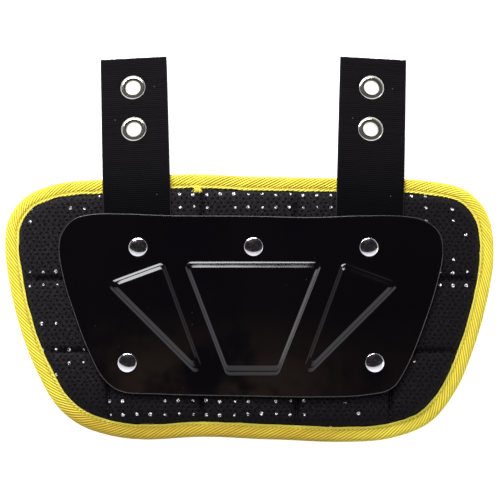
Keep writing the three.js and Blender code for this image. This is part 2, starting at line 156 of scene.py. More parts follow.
def smooth_loop(table, width, height, shift, count):
    """A smooth closed curve through the table's points, as evenly spaced points."""
    knots = np.array(table) * (width / 2, height / 2) + shift
    p0, p1, p2, p3 = (np.roll(knots, k, axis=0) for k in (1, 0, -1, -2))

    def spacing(a, b):
        return np.linalg.norm(b - a, axis=1, keepdims=True) ** 0.5

    d0, d1, d2 = spacing(p0, p1), spacing(p1, p2), spacing(p2, p3)
    m1 = ((p1 - p0) / d0 - (p2 - p0) / (d0 + d1) + (p2 - p1) / d1) * d1
    m2 = ((p2 - p1) / d1 - (p3 - p1) / (d1 + d2) + (p3 - p2) / d2) * d1
    fine = []
    for k in range(len(knots)):
        t = np.linspace(0, 1, CURVE_STEPS, endpoint=False)[:, None]
        fine.append(
            (2 * t**3 - 3 * t**2 + 1) * p1[k] + (t**3 - 2 * t**2 + t) * m1[k]
            + (-2 * t**3 + 3 * t**2) * p2[k] + (t**3 - t**2) * m2[k]
        )
    return even_loop(np.vstack(fine), count)


def inset(loop, distance):
    """The loop moved inwards. The loop runs the way that keeps its inside on the left."""
    along = np.roll(loop, -1, axis=0) - np.roll(loop, 1, axis=0)
    along /= np.linalg.norm(along, axis=1, keepdims=True)
    step = np.broadcast_to(np.asarray(distance, float).reshape(-1, 1), (len(loop), 1))
    return loop + np.column_stack([-along[:, 1], along[:, 0]]) * step


pad_loop = smooth_loop(PAD_OUTLINE, PAD_WIDTH, PAD_HEIGHT, (0, 0), 320)
plate_loop = smooth_loop(PLATE_OUTLINE, PLATE_WIDTH, PLATE_HEIGHT, PLATE_SHIFT, 360)
print("pad outline:", np.ptp(pad_loop, axis=0).round(1))
print("plate outline:", np.ptp(plate_loop, axis=0).round(1))

# %% [markdown]
# On a wearer the part wraps a little round the back. A bend modifier could do that, but it would have
# to be tuned for each piece. One formula raises them all: a parabola across the pad, which gets
# narrower towards the lower end with the pad itself. The step from the flat layout to the frame is
# measured on the middle rivet and its washer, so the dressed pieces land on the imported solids.


# %% From flat millimetres to the frame
def arch_half_span(y):
    """Half the width over which the arch rises, at a place up the pad."""
    down = np.maximum(0, (WIDEST_UP * PAD_HEIGHT / 2 - y) / ((1 + WIDEST_UP) * PAD_HEIGHT / 2))
    return (PAD_WIDTH / 2 - ARCH_EDGE_INSET) * (1 - ARCH_TAPER * down**2)


def arch_height(x, y):
    return ARCH_RISE * (1 - (x / arch_half_span(y)) ** 2)


def arch_slope(x, y):
    return -2 * ARCH_RISE * x / arch_half_span(y) ** 2


def rivet_place(side, row):
    """The upper rivets also hold the hangers, so they follow the hangers' pitch."""
    if row > 0:
        return PLATE_SHIFT[0] + STRAP_SHIFT_ACROSS + side * STRAP_PITCH / 2, UPPER_RIVET_UP
    return PLATE_SHIFT[0] + side * LOWER_RIVET_PITCH / 2, LOWER_RIVET_UP


washer_low, washer_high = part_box("washer_top_centre")
washer_middle = (washer_low + washer_high) / 2 / MM
centre_x, centre_y = rivet_place(0, 1)
rivet_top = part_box("rivet_top_centre")[1].z / MM
FRAME_SHIFT = np.array([
    washer_middle.x - centre_x,
    washer_middle.y - centre_y,
    rivet_top - (arch_height(centre_x, centre_y) + PLATE_FRONT + GAP + RIVET_HEAD_HEIGHT),
])
print("flat layout to frame:", FRAME_SHIFT.round(2), "mm")


def settle(points):
    """Flat points raised over the arch and moved into the frame, in metres."""
    points = np.array(points, float)
    points[:, 2] += arch_height(points[:, 0], points[:, 1])
    return (points + FRAME_SHIFT) * MM


# %% [markdown]
# Most of these pieces are sheets with a thickness: the pad, the plate and the hangers. An even grid
# with a Solidify modifier could make them, but it would leave steps along every slanting edge. Instead
# each starts as a plan of triangles between its outline, its holes and some loose points inside, which
# Blender's own Delaunay routine makes. The plan is copied to a front and a back height, and a wall
# joins the two round every outline. That puts points exactly where a form needs them, such as along a
# fold or a seam.


# %% Where points lie on the plan
def inside_loop(points, loop):
    """Which points lie inside the loop."""
    x, y = points[:, 0], points[:, 1]
    inside = np.zeros(len(points), bool)
    for (x0, y0), (x1, y1) in zip(loop, np.roll(loop, -1, axis=0)):
        crosses = (y0 > y) != (y1 > y)
        inside ^= crosses & (x < x0 + (y - y0) / (y1 - y0 + 1e-12) * (x1 - x0))
    return inside


def distance_to(points, loop):
    """How far each point lies from a line of close points."""
    best = np.full(len(points), np.inf)
    for start in range(0, len(loop), 40):
        part = loop[start:start + 40]
        far = np.linalg.norm(points[:, None, :] - part[None, :, :], axis=2).min(axis=1)
        best = np.minimum(best, far)
    return best


def clear_of(points, holes, room):
    """Which points lie outside every hole, and more than room away from it."""
    clear = np.ones(len(points), bool)
    for hole in holes:
        clear &= ~inside_loop(points, hole) & (distance_to(points, hole) > room)
    return clear


def point_grid(loop, pitch):
    """Staggered points that cover a loop's box."""
    low, high = loop.min(axis=0), loop.max(axis=0)
    rows = np.arange(low[1], high[1] + pitch, pitch * 0.87)
    points = [
        (x, y)
        for k, y in enumerate(rows)
        for x in np.arange(low[0] + (k % 2) * pitch / 2, high[0] + pitch, pitch)
    ]
    return np.array(points)


def circle(centre, radius, count):
    angles = np.linspace(0, 2 * np.pi, count, endpoint=False)
    return np.array(centre) + radius * np.column_stack([np.cos(angles), np.sin(angles)])


def wander(points, size, seed):
    """Smooth seeded noise from -1 to 1 at points in millimetres."""
    shift = Vector((seed * 17.3, seed * 5.1, seed * 9.7))
    if points.shape[1] == 2:
        points = np.column_stack([points, np.zeros(len(points))])
    return np.array([noise.noise(Vector(p) / size + shift) for p in points])


print("plan tools ready")


# %% Sheets with a thickness
def plan_triangles(loops, holes, loose, boundary):
    """Triangles over all points. Loops and holes stay edges, and boundary is the outermost loop."""
    rings = [*loops, *holes]
    points = np.vstack([*rings, loose])
    edges, start = [], 0
    for ring in rings:
        count = len(ring)
        edges += [(start + k, start + (k + 1) % count) for k in range(count)]
        start += count
    made = delaunay_2d_cdt([Vector(p) for p in points], edges, [], 0, 1e-6)
    source = made[3]
    triangles = np.array([[source[v][0] for v in face] for face in made[2]])
    middles = points[triangles].mean(axis=1)
    keep = inside_loop(middles, boundary)
    for hole in holes:
        keep &= ~inside_loop(middles, hole)
    triangles = triangles[keep]
    a, b, c = (points[triangles[:, k]] for k in range(3))
    turn = (b[:, 0] - a[:, 0]) * (c[:, 1] - a[:, 1]) - (b[:, 1] - a[:, 1]) * (c[:, 0] - a[:, 0])
    triangles[turn < 0] = triangles[turn < 0][:, ::-1]
    return points, triangles


def ring_indices(loops, which):
    start = sum(len(loop) for loop in loops[:which])
    return np.arange(start, start + len(loops[which]))


def wall_rings(loops, holes):
    """The outer loop and every hole as index loops. Each keeps the sheet on its left."""
    every = [*loops, *holes]
    walls = [ring_indices(every, 0)]
    return walls + [ring_indices(every, len(loops) + k)[::-1] for k in range(len(holes))]


def sheet_faces(triangles, count, walls):
    """A front sheet, its copy behind, and a wall of faces along each index loop."""
    front = [tuple(t) for t in triangles]
    back = [tuple(t[::-1] + count) for t in triangles]
    sides = []
    for wall in walls:
        for i, j in zip(wall, np.roll(wall, -1)):
            sides.append((i, i + count, j + count, j))
    return front + back + sides


def front_and_back(points, front, back):
    """A plan's points at their front and at their back heights, settled into the frame."""
    faces = [np.column_stack([points, heights]) for heights in (front, back)]
    return np.vstack([settle(face) for face in faces])


def new_piece(name, vertices, faces):
    """A smooth mesh object from points in metres, with its faces pointing out."""
    mesh = bpy.data.meshes.new(name)
    corners = [tuple(int(i) for i in face) for face in faces]
    mesh.from_pydata([tuple(v) for v in vertices], [], corners)
    mesh.polygons.foreach_set("use_smooth", [True] * len(mesh.polygons))
    mesh.update()
    piece = bpy.data.objects.new(name, mesh)
    bpy.context.scene.collection.objects.link(piece)
    return piece


def add_map(piece, name, pairs):
    """Stores a flat coordinate of each point as a UV map, in millimetres."""
    layer = piece.data.uv_layers.new(name=name)
    order = np.empty(len(piece.data.loops), int)
    piece.data.loops.foreach_get("vertex_index", order)
    layer.data.foreach_set("uv", np.asarray(pairs, np.float32)[order].ravel())


def add_value(piece, name, values):
    """Stores a number at each point, for a material to read."""
    layer = piece.data.attributes.new(name, "FLOAT", "POINT")
    layer.data.foreach_set("value", np.asarray(values, np.float32))


print("sheet tools ready")

# %% [markdown]
# A finish is a tree of small nodes. It could be wired by hand in the shader editor, but a script can
# be read, changed and run again. A few short functions keep it readable. They add a node, feed a
# socket, do arithmetic, mix colours, or read what is stored on a piece.


# %% Node helpers
def add_node(tree, kind, **settings):
    made = tree.nodes.new(kind)
    for key, value in settings.items():
        setattr(made, key, value)
    return made


def feed(tree, socket, value):
    """Gives a socket another node's output, or a value. A colour of three parts becomes opaque."""
    if isinstance(value, bpy.types.NodeSocket):
        tree.links.new(value, socket)
    elif socket.type == "RGBA" and len(value) == 3:
        socket.default_value = (*value, 1)
    else:
        socket.default_value = value


def feed_all(tree, made, values):
    """Feeds a node's first sockets in turn."""
    for socket, value in zip(made.inputs, values):
        feed(tree, socket, value)
    return made.outputs


def calc(tree, operation, *values, clamp=False):
    made = add_node(tree, "ShaderNodeMath", operation=operation, use_clamp=clamp)
    return feed_all(tree, made, values)[0]


def times(tree, first, *others):
    product = first
    for other in others:
        product = calc(tree, "MULTIPLY", product, other)
    return product


def plus(tree, first, second):
    return calc(tree, "ADD", first, second)


def vector_calc(tree, operation, *values):
    made = add_node(tree, "ShaderNodeVectorMath", operation=operation)
    outputs = feed_all(tree, made, values)
    return outputs["Value" if operation == "DOT_PRODUCT" else "Vector"]


def parts_of(tree, value, kind="XYZ"):
    """The three parts of a vector, or of a colour if the kind is Color."""
    return feed_all(tree, add_node(tree, f"ShaderNodeSeparate{kind}"), [value])


def rotated(tree, vector, angle):
    """A vector turned about the upright axis."""
    made = add_node(tree, "ShaderNodeVectorRotate", rotation_type="Z_AXIS")
    feed(tree, made.inputs["Vector"], vector)
    feed(tree, made.inputs["Angle"], angle)
    return made.outputs[0]


def ramp(tree, value, low, high, out_low=0.0, out_high=1.0):
    """A smooth step from one output to the other while the value goes from low to high."""
    made = add_node(tree, "ShaderNodeMapRange", interpolation_type="SMOOTHSTEP")
    return feed_all(tree, made, (value, low, high, out_low, out_high))[0]


def blend(tree, factor, first, second):
    made = add_node(tree, "ShaderNodeMix", data_type="RGBA")
    feed(tree, made.inputs["Factor"], factor)
    feed(tree, made.inputs[6], first)
    feed(tree, made.inputs[7], second)
    return made.outputs[2]


def bump(tree, height, distance, strength=1.0):
    made = add_node(tree, "ShaderNodeBump")
    feed(tree, made.inputs["Strength"], strength)
    feed(tree, made.inputs["Distance"], distance)
    feed(tree, made.inputs["Height"], height)
    return made.outputs[0]


def millimetres(tree):
    """The place on the object, in millimetres."""
    coordinates = add_node(tree, "ShaderNodeTexCoord")
    return vector_calc(tree, "MULTIPLY", coordinates.outputs["Object"], (1 / MM, 1 / MM, 1 / MM))


def mapped(tree, name):
    """The flat coordinate stored with add_map."""
    return add_node(tree, "ShaderNodeUVMap", uv_map=name).outputs[0]


def point_value(tree, name):
    """The number stored with add_value."""
    return add_node(tree, "ShaderNodeAttribute", attribute_name=name).outputs["Fac"]


def noise_at(tree, vector, scale, detail=3.0, roughness=0.5):
    made = add_node(tree, "ShaderNodeTexNoise")
    for title, value in (
        ("Vector", vector), ("Scale", scale), ("Detail", detail), ("Roughness", roughness),
    ):
        feed(tree, made.inputs[title], value)
    return made.outputs[0]


print("node helpers ready")

# %% [markdown]
# An effect that several finishes share is made once, as a group with named inputs and outputs. Copying
# its nodes into each finish would work too, but then a change has to be made several times. A finish
# is one material with one Principled shader. Dressing a piece gives it that material and says which
# body it rides on and which solids it stands for.


# %% Groups, finishes and the dressing of a piece
FLOAT = "NodeSocketFloat"
VECTOR = "NodeSocketVector"


def new_group(name, inputs, outputs):
    """A shader group with named sockets. Inputs are name: (kind, value), and outputs are floats."""
    tree = bpy.data.node_groups.new(name, "ShaderNodeTree")
    for title, (kind, value) in inputs.items():
        socket = tree.interface.new_socket(name=title, in_out="INPUT", socket_type=kind)
        if value is not None:
            socket.default_value = value
    for title in outputs:
        tree.interface.new_socket(name=title, in_out="OUTPUT", socket_type=FLOAT)
    print("group:", name)
    return tree, tree.nodes.new("NodeGroupInput").outputs, tree.nodes.new("NodeGroupOutput").inputs


def place_group(tree, group, **values):
    """Uses a group. An underscore stands for the space in a socket's name."""
    made = add_node(tree, "ShaderNodeGroup", node_tree=group)
    for title, value in values.items():
        feed(tree, made.inputs[title.replace("_", " ")], value)
    return made.outputs


def new_finish(name, **settings):
    """A material with one Principled shader, whose plain values are set on its own sockets."""
    material = bpy.data.materials.new(name)
    material.use_nodes = True
    shader = material.node_tree.nodes["Principled BSDF"]
    for title, value in settings.items():
        shader.inputs[title.replace("_", " ")].default_value = value
    print("finish:", name)
    return material, material.node_tree, shader.inputs


def dress(piece, material, slot, *nodes):
    """Gives a piece its finish, its body and the solids that it stands for. The slot is not used."""
    piece.data.materials.clear()
    piece.data.materials.append(material)
    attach(piece, "root")
    if nodes:
        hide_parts(*nodes)
    print(piece.name, "vertices:", len(piece.data.vertices))


# %% [markdown]
# Woven goods share one look: parallel threads that stand up a little and differ from one another. The
# tape is a twill, whose threads run at an angle, and the webbing has fine ribs straight across. An
# image of cloth would soon repeat, so the threads are worked out as waves, with a random tone for
# each. The Shade output also paints shade into the valleys between the threads. One group serves both,
# and the sewing thread too, because only the direction, the pitch and the unevenness change.


# %% Group: thread ribs
def make_thread_ribs():
    group, given, made = new_group(
        "thread ribs",
        {
            "Place": (VECTOR, None), "Step Along": (FLOAT, 1.0), "Step Across": (FLOAT, 0.0),
            "Pitch": (FLOAT, 1.0), "Uneven": (FLOAT, 0.5),
        },
        ("Height", "Shade"),
    )
    x, y, _ = parts_of(group, given["Place"])
    reach = plus(group, times(group, x, given["Step Along"]), times(group, y, given["Step Across"]))
    drift = noise_at(group, given["Place"], 0.07, 2.0)
    waver = times(group, calc(group, "SUBTRACT", drift, 0.5), given["Uneven"])
    turns = plus(group, calc(group, "DIVIDE", reach, given["Pitch"]), waver)
    ridge = calc(group, "ABSOLUTE", calc(group, "SINE", times(group, turns, math.pi)))
    feed(group, made["Height"], calc(group, "POWER", ridge, 0.7))
    thread = add_node(group, "ShaderNodeTexWhiteNoise", noise_dimensions="1D")
    feed(group, thread.inputs["W"], calc(group, "FLOOR", turns))
    spread = times(group, calc(group, "SUBTRACT", thread.outputs[0], 0.5), given["Uneven"])
    # Shade: painted shade in the valleys between threads, plus each thread's random tone
    feed(group, made["Shade"], calc(group, "ADD", times(group, ridge, 0.75), spread, clamp=True))
    return group


thread_ribs = make_thread_ribs()


def rib_lines(tree, place, steps, pitch, uneven):
    """Threads one pitch apart. The steps, along and across the piece, are the way that they follow."""
    return place_group(
        tree, thread_ribs, Place=place, Step_Along=steps[0], Step_Across=steps[1], Pitch=pitch,
        Uneven=uneven,
    )


# %% [markdown]
# Lint and dust settle on everything black: cloth, webbing and plate alike. Real fibres could be
# scattered over the pieces, but at this size they are only pale specks. Cells of a fine Voronoi
# pattern give these, and a second, random value for each cell keeps only a few of them.


# %% Group: lint specks
def make_lint():
    group, given, made = new_group(
        "lint specks",
        {
            "Place": (VECTOR, None), "Pitch": (FLOAT, 6.0), "Size": (FLOAT, 0.05),
            "Share": (FLOAT, 0.1),
        },
        ("Mask",),
    )
    cells = add_node(group, "ShaderNodeTexVoronoi")
    feed(group, cells.inputs["Scale"], 1.0)
    feed(group, cells.inputs["Vector"], vector_calc(group, "DIVIDE", given["Place"], given["Pitch"]))
    chance, unequal, strength = parts_of(group, cells.outputs["Color"], "Color")
    chosen = calc(group, "LESS_THAN", chance, given["Share"])
    size = times(group, given["Size"], plus(group, unequal, 0.3))
    near = calc(group, "LESS_THAN", cells.outputs["Distance"], size)
    feed(group, made["Mask"], times(group, chosen, near, strength))
    return group


lint_specks = make_lint()


def dusted(tree, colour, place, dust, strength, **values):
    """A colour with specks of lint on it."""
    lint = place_group(tree, lint_specks, Place=place, **values)
    return blend(tree, times(tree, lint["Mask"], strength), colour, dust)


# %% [markdown]
# Hard, shiny surfaces carry handling marks: broad smudges that change the gloss, and fine hairlines
# that show only in a reflection. They could be painted by hand. Noise does it without an image:
# stretched in one direction, it turns into hairlines.


# %% Group: handling marks
HAIRLINE_ANGLE = 0.6
HAIRLINE_STRETCH = (1.0, 0.03, 1.0)


def make_handling():
    group, given, made = new_group(
        "handling marks",
        {"Place": (VECTOR, None), "Smudge Size": (FLOAT, 30.0), "Hairline Pitch": (FLOAT, 0.5)},
        ("Smudge", "Hairlines"),
    )
    broad = vector_calc(group, "DIVIDE", given["Place"], given["Smudge Size"])
    feed(group, made["Smudge"], ramp(group, noise_at(group, broad, 1.0, 5.0, 0.6), 0.42, 0.72))
    slanted = rotated(group, given["Place"], HAIRLINE_ANGLE)
    stretched = vector_calc(group, "MULTIPLY", slanted, HAIRLINE_STRETCH)
    fine = vector_calc(group, "DIVIDE", stretched, given["Hairline Pitch"])
    feed(group, made["Hairlines"], ramp(group, noise_at(group, fine, 1.0, 1.0), 0.62, 0.75))
    return group


handling_marks = make_handling()

# %% [markdown]
# The pad's cover is a knitted mesh: rows of small open holes, each row shifted by half a hole. Below it
# the foam is pierced by vents on a wider, square grid. A sheet of real holes would take millions of
# faces, so one group works out a grid of cells by arithmetic on the place: the row number shifts the
# column, and the distance from a cell's middle gives the hole. It also gives each cell two random
# numbers, and serves for the knit and for the vents.


# %% Group: knit cells
def make_knit():
    group, given, made = new_group(
        "knit cells",
        {
            "Place": (VECTOR, None), "Pitch Across": (FLOAT, 4.6), "Pitch Up": (FLOAT, 3.15),
            "Stagger": (FLOAT, 0.5), "Jitter": (FLOAT, 0.0),
        },
        ("Distance", "Chance", "Second Chance"),
    )
    x, y, _ = parts_of(group, given["Place"])
    up = calc(group, "DIVIDE", y, given["Pitch Up"])
    row = calc(group, "FLOOR", up)
    odd = times(group, calc(group, "FLOORED_MODULO", row, 2.0), given["Stagger"])
    across = plus(group, calc(group, "DIVIDE", x, given["Pitch Across"]), odd)
    column = calc(group, "FLOOR", across)
    cell = feed_all(group, add_node(group, "ShaderNodeCombineXYZ"), (column, row))[0]
    draw = add_node(group, "ShaderNodeTexWhiteNoise", noise_dimensions="2D")
    feed(group, draw.inputs["Vector"], cell)
    chances = parts_of(group, draw.outputs["Color"], "Color")

    def from_middle(value, number, chance, pitch):
        """The squared distance from a cell's middle in one direction. Jitter moves the middle."""
        middle = calc(group, "SUBTRACT", calc(group, "SUBTRACT", value, number), 0.5)
        shift = times(group, calc(group, "SUBTRACT", chance, 0.5), given["Jitter"])
        flat = times(group, plus(group, middle, shift), pitch)
        return times(group, flat, flat)

    square = plus(
        group, from_middle(across, column, chances[0], given["Pitch Across"]),
        from_middle(up, row, chances[1], given["Pitch Up"]),
    )
    feed(group, made["Distance"], calc(group, "SQRT", square))
    feed(group, made["Chance"], chances[2])
    feed(group, made["Second Chance"], draw.outputs["Value"])
    return group


knit_cells = make_knit()

# %% [markdown]
# The mesh cloth. Its yarn is matt black, with a few lighter flecks where loops catch the light, which
# are painted highlights. A narrow dark line of painted shade lies in each seam, because little light
# gets down between two fields, and the cloth is painted darker, as shade, at the right and near sides.
# Some vents show the pale, lit ground below as small glints. Cutting the vents through the pad would
# cost many faces for a few bright dots, so the glints are painted as pale spots that glow slightly. A
# draw against a share stored on the pad says which ones do, and the yarn breaks each glint up.

# %% Finish: black knitted mesh over vented foam
# A noise is its scale, detail and roughness. A fade runs from, to, and has its two outputs
KNIT_HOLE = (0.45, 1.3, 1.0, 0.0)
YARN_NOISE = (1.6, 4.0, 0.65)
YARN_SHADE = (0.0035, 0.003, 0.0037)
YARN = (0.018, 0.0156, 0.0175)
YARN_FLECK = (0.046, 0.041, 0.045)
FLECK_ANGLE = 0.5
FLECK_STRETCH = (0.45, 1.3, 1.0)
FLECK_NOISE = (1.0, 2.0, 0.6)
HOLE_SHADE = (0.0018, 0.0016, 0.002)
SEAM_SHADE = (0.0016, 0.0014, 0.0016)
CLOTH_SIDE_SHADE = (0.0026, 0.0022, 0.0026)
SIDE_SHADE_RIGHTWARD = (40.0, 130.0, 0.0, 0.45)
SIDE_SHADE_DOWNWARD = (-88.0, -30.0, 0.55, 0.0)
VENT_SHIFT = (5.9, -2.2, 0)
VENT_PITCH = (10.2, 9.59)
VENT_EDGE = (1.05, 1.4, 1.0, 0.0)
VENT_WIDTHS = (0.65, 1.05)
VENT_NOISE = (0.95, 3.0, 0.7)
VENT_LIGHT = (0.92, 0.9, 0.93)
VENT_GLOW = 0.5
CLOTH_LINT = (0.25, 0.23, 0.23)


def make_mesh_cloth():
    material, tree, shader = new_finish("mesh_cloth", Roughness=0.7, Specular_IOR_Level=0.06)
    place = mapped(tree, "flat")
    knit = place_group(tree, knit_cells, Place=place, Jitter=0.3)
    hole = ramp(tree, knit["Distance"], *KNIT_HOLE)
    fibre = noise_at(tree, place, *YARN_NOISE)
    loops = vector_calc(tree, "MULTIPLY", rotated(tree, place, FLECK_ANGLE), FLECK_STRETCH)
    fleck = ramp(tree, noise_at(tree, loops, *FLECK_NOISE), 0.5, 0.68)
    colour = blend(tree, ramp(tree, fibre, 0.3, 0.7), YARN_SHADE, YARN)
    # Painted highlights: lighter flecks where loops catch the light
    colour = blend(tree, times(tree, fleck, 0.6), colour, YARN_FLECK)
    colour = blend(tree, times(tree, hole, 0.9), colour, HOLE_SHADE)
    # Painted shade: a dark line in each seam
    colour = blend(tree, times(tree, point_value(tree, "groove"), 0.85), colour, SEAM_SHADE)
    x, y, _ = parts_of(tree, place)
    # Painted shade: the cloth is darker towards the right and the near side
    painted_side_shade = calc(tree, "MAXIMUM", ramp(tree, x, *SIDE_SHADE_RIGHTWARD), ramp(tree, y, *SIDE_SHADE_DOWNWARD))
    colour = blend(tree, painted_side_shade, colour, CLOTH_SIDE_SHADE)
    vents = place_group(
        tree, knit_cells, Place=vector_calc(tree, "ADD", place, VENT_SHIFT),
        Pitch_Across=VENT_PITCH[0], Pitch_Up=VENT_PITCH[1], Stagger=0.0, Jitter=0.14,
    )
    open_vent = calc(tree, "LESS_THAN", vents["Chance"], point_value(tree, "vent_share"))
    width = ramp(tree, vents["Second Chance"], 0.0, 1.0, *VENT_WIDTHS)
    spot = ramp(tree, calc(tree, "DIVIDE", vents["Distance"], width), *VENT_EDGE)
    broken = ramp(tree, noise_at(tree, place, *VENT_NOISE), 0.49, 0.56)
    # Painted glints: pale spots of lit ground in the vents, which also glow slightly
    glint = times(tree, spot, open_vent, broken)
    colour = blend(tree, glint, colour, VENT_LIGHT)
    colour = dusted(tree, colour, place, CLOTH_LINT, 0.5, Pitch=4.0, Size=0.07, Share=0.06)
    feed(tree, shader["Base Color"], colour)
    feed(tree, shader["Emission Color"], blend(tree, glint, (0, 0, 0), (1, 0.98, 1)))
    feed(tree, shader["Emission Strength"], VENT_GLOW)
    relief = calc(tree, "SUBTRACT", times(tree, fibre, 0.35), hole)
    feed(tree, shader["Normal"], bump(tree, relief, 0.0005, 0.9))
    return material


mesh_cloth = make_mesh_cloth()

# %% [markdown]
# The hangers' shape comes first, because they also press the pad. Each is a flat strip of webbing that
# leans outwards a little. It lies level under the plate, bends down past the plate's edge, and then
# runs straight, since stiff webbing keeps a flat cross-section once it leaves the arch. A curve
# modifier could bend it, but as a formula the same bend also seats the grommets and says where the
# foam is pressed.


# %% Hanger geometry
def strap_plan(side, across, along):
    """Where a point of a hanger lies on the flat layout."""
    root_x, root_y = rivet_place(side, 1)
    lean = side * STRAP_LEAN
    x = root_x + across * math.cos(lean) + along * math.sin(lean)
    y = root_y - across * math.sin(lean) + along * math.cos(lean)
    return x, y


def strap_place(side, x, y):
    """The other way round: across and along a hanger for a point of the flat layout."""
    root_x, root_y = rivet_place(side, 1)
    lean = side * STRAP_LEAN
    dx, dy = x - root_x, y - root_y
    return dx * math.cos(lean) - dy * math.sin(lean), dx * math.sin(lean) + dy * math.cos(lean)


def strap_drop(along):
    """How far a hanger has dropped: level, then a bend, then a straight slope."""
    length = BEND_END - BEND_START
    in_bend = np.clip(along - BEND_START, 0, length)
    beyond = np.maximum(0, along - BEND_END)
    return TAB_SLOPE * (in_bend**2 / (2 * length) + beyond)


def strap_base(side, across, along):
    """The arch under the plate, and past the bend the flat plane that touches the arch."""
    x, y = strap_plan(side, across, along)
    root_x, root_y = strap_plan(side, 0, BEND_END)
    plane = arch_height(root_x, root_y) + arch_slope(root_x, root_y) * across
    share = np.clip((along - BEND_START) / (BEND_END - BEND_START), 0, 1)
    share = share * share * (3 - 2 * share)
    return arch_height(x, y) * (1 - share) + plane * share


def strap_points(side, across, along, height):
    """Points of a hanger in the frame, in metres, from its own across, along and height."""
    x, y = strap_plan(side, across, along)
    z = strap_base(side, across, along) + STRAP_SEAT - strap_drop(along) + height
    return (np.column_stack([x, y, z]) + FRAME_SHIFT) * MM


print("hanger bends from", BEND_START, "to", round(BEND_END, 1), "mm past its rivet")

# %% [markdown]
# The pad. It is foam, quilted by seams sewn straight through it, so each field between seams swells a
# little and the cloth dips sharply at the stitches. It could be sculpted, but then its seams would
# wander. The plan has rows of points along every seam instead, and rings round the edge, where the pad
# thins to the flange that the tape wraps.

# %% The pad's plan
FOLD_EDGE = TAPE_THICKNESS + 0.3 * (TAPE_LAP - TAPE_THICKNESS) + GAP
LAP_EDGE = TAPE_LAP + GAP
FLANGE_RING = 7.5
FLANGE_LOW = BOUND_EDGE_BASE + TAPE_THICKNESS + GAP
FLANGE_HIGH = BOUND_EDGE_BASE + BOUND_EDGE_THICKNESS - TAPE_THICKNESS - GAP
FIELD_PITCH = 4.2
FIELD_ROOM = 2.2
SEAM_STEP = 3.6
SEAM_OFFSETS = (-4.4, -2.6, -1.2, 0, 1.2, 2.6, 4.4)
SEAM_SIDE = SEAM_OFFSETS[-1]
GRID_ROOM = 1.5
CROSSING_ROOM = 1.2
SHOULDER_STEPS = (0.05, 0.15, 0.3, 0.5, 0.75, 1)


def line_distance(values, lines):
    """How far each value lies from the nearest of some lines."""
    return np.min([np.abs(values - line) for line in lines], axis=0)


def seam_distance(points):
    """How far each point lies from the nearest seam."""
    columns = line_distance(points[:, 0], SEAM_COLUMNS)
    return np.minimum(columns, line_distance(points[:, 1], SEAM_ROWS))


def pad_plan():
    rings = [inset(pad_loop, d) for d in (FOLD_EDGE, FLANGE_RING, LAP_EDGE)]
    rings += [inset(pad_loop, LAP_EDGE + share * PAD_SHOULDER) for share in SHOULDER_STEPS]
    field = rings[-1]
    grid = point_grid(field, FIELD_PITCH)
    grid = grid[seam_distance(grid) > SEAM_SIDE + GRID_ROOM]
    reach = np.arange(-PAD_WIDTH / 2, PAD_WIDTH / 2, SEAM_STEP)
    columns = [
        np.column_stack([np.full_like(reach, x + s), reach]) for x in SEAM_COLUMNS for s in SEAM_OFFSETS
    ]
    rows = np.vstack([
        np.column_stack([reach, np.full_like(reach, y + s)]) for y in SEAM_ROWS for s in SEAM_OFFSETS
    ])
    rows = rows[line_distance(rows[:, 0], SEAM_COLUMNS) > SEAM_SIDE + CROSSING_ROOM]
    loose = np.vstack([grid, *columns, rows])
    inner = inside_loop(loose, field) & (distance_to(loose, even_loop(field, 900)) > FIELD_ROOM)
    return rings, *plan_triangles(rings, [], loose[inner], rings[0])


pad_rings, pad_points, pad_triangles = pad_plan()
pad_faces = sheet_faces(pad_triangles, len(pad_points), wall_rings(pad_rings, []))
print("pad plan:", len(pad_points), "points,", len(pad_triangles), "triangles")

# %% [markdown]
# Before any swelling the pad is drawn pulled tight: a rounded shoulder up from the flange, a flat
# field, and a dip along each seam, which is deeper in front than behind. Bevels and creases could
# shape it, but a formula of the distance to the edge and to the nearest seam gives all three at once.

# %% The pad's rest shape
SEAM_DEPTH = {"front": 4.0, "back": 2.0}
FIELD_START = 13.0
SHOULDER_POWERS = (2.2, 0.62)
DIP_SHARE = 0.75
DIP_WIDTH = 1.9
HOLLOW_REACH = 6
SEAM_FADE = 6


def edge_distance(points):
    """How far each point lies inside the pad's outline. Outside it the distance is negative."""
    far = distance_to(points, even_loop(pad_loop, 1600))
    return np.where(inside_loop(points, pad_loop), far, -far)


def shoulder(distance):
    """The pad's rounded shoulder, from 0 at the tape to 1 on the field."""
    share = np.clip((distance - LAP_EDGE) / PAD_SHOULDER, 0, 1)
    return (1 - (1 - share) ** SHOULDER_POWERS[0]) ** SHOULDER_POWERS[1]


def seam_dip(distance):
    """A narrow dip at the stitches, with a wider, shallow hollow round it."""
    dip = DIP_SHARE * np.exp(-((distance / DIP_WIDTH) ** 2))
    return dip + (1 - DIP_SHARE) * np.exp(-distance / HOLLOW_REACH)


pad_edge = edge_distance(pad_points)
pad_seam = seam_distance(pad_points)
seam_reach = np.clip((pad_edge - LAP_EDGE) / SEAM_FADE, 0, 1)
front_height = FLANGE_HIGH + (FIELD_START - FLANGE_HIGH) * shoulder(pad_edge)
front_height -= SEAM_DEPTH["front"] * seam_dip(pad_seam) * seam_reach
back_height = FLANGE_LOW * (1 - shoulder(pad_edge))
back_height += SEAM_DEPTH["back"] * seam_dip(pad_seam) * seam_reach
print("pad front from", front_height.min().round(1), "to", front_height.max().round(1))

# %% [markdown]
# Blender's cloth simulation then blows the fields up against the sewn points, which stay pinned. Plain
# bulges could be put there by formula, but cloth over foam takes its curve from the tension between
# its seams, and the simulation finds that by itself. The rise is held to what real foam allows.

# %% Blow the fields up with cloth simulation
BLOW_FRAMES = 20
BLOW_CLOTH = {
    "quality": 4, "mass": 0.15, "tension_stiffness": 25, "compression_stiffness": 25,
    "bending_stiffness": 1.5, "use_pressure": True, "uniform_pressure_force": 4,
    "vertex_group_mass": "sewn",
}
SEWN_REACH = 0.6
TUCKED_REACH = 0.3
MOST_RISE = {"front": 2.2, "back": 1.2}


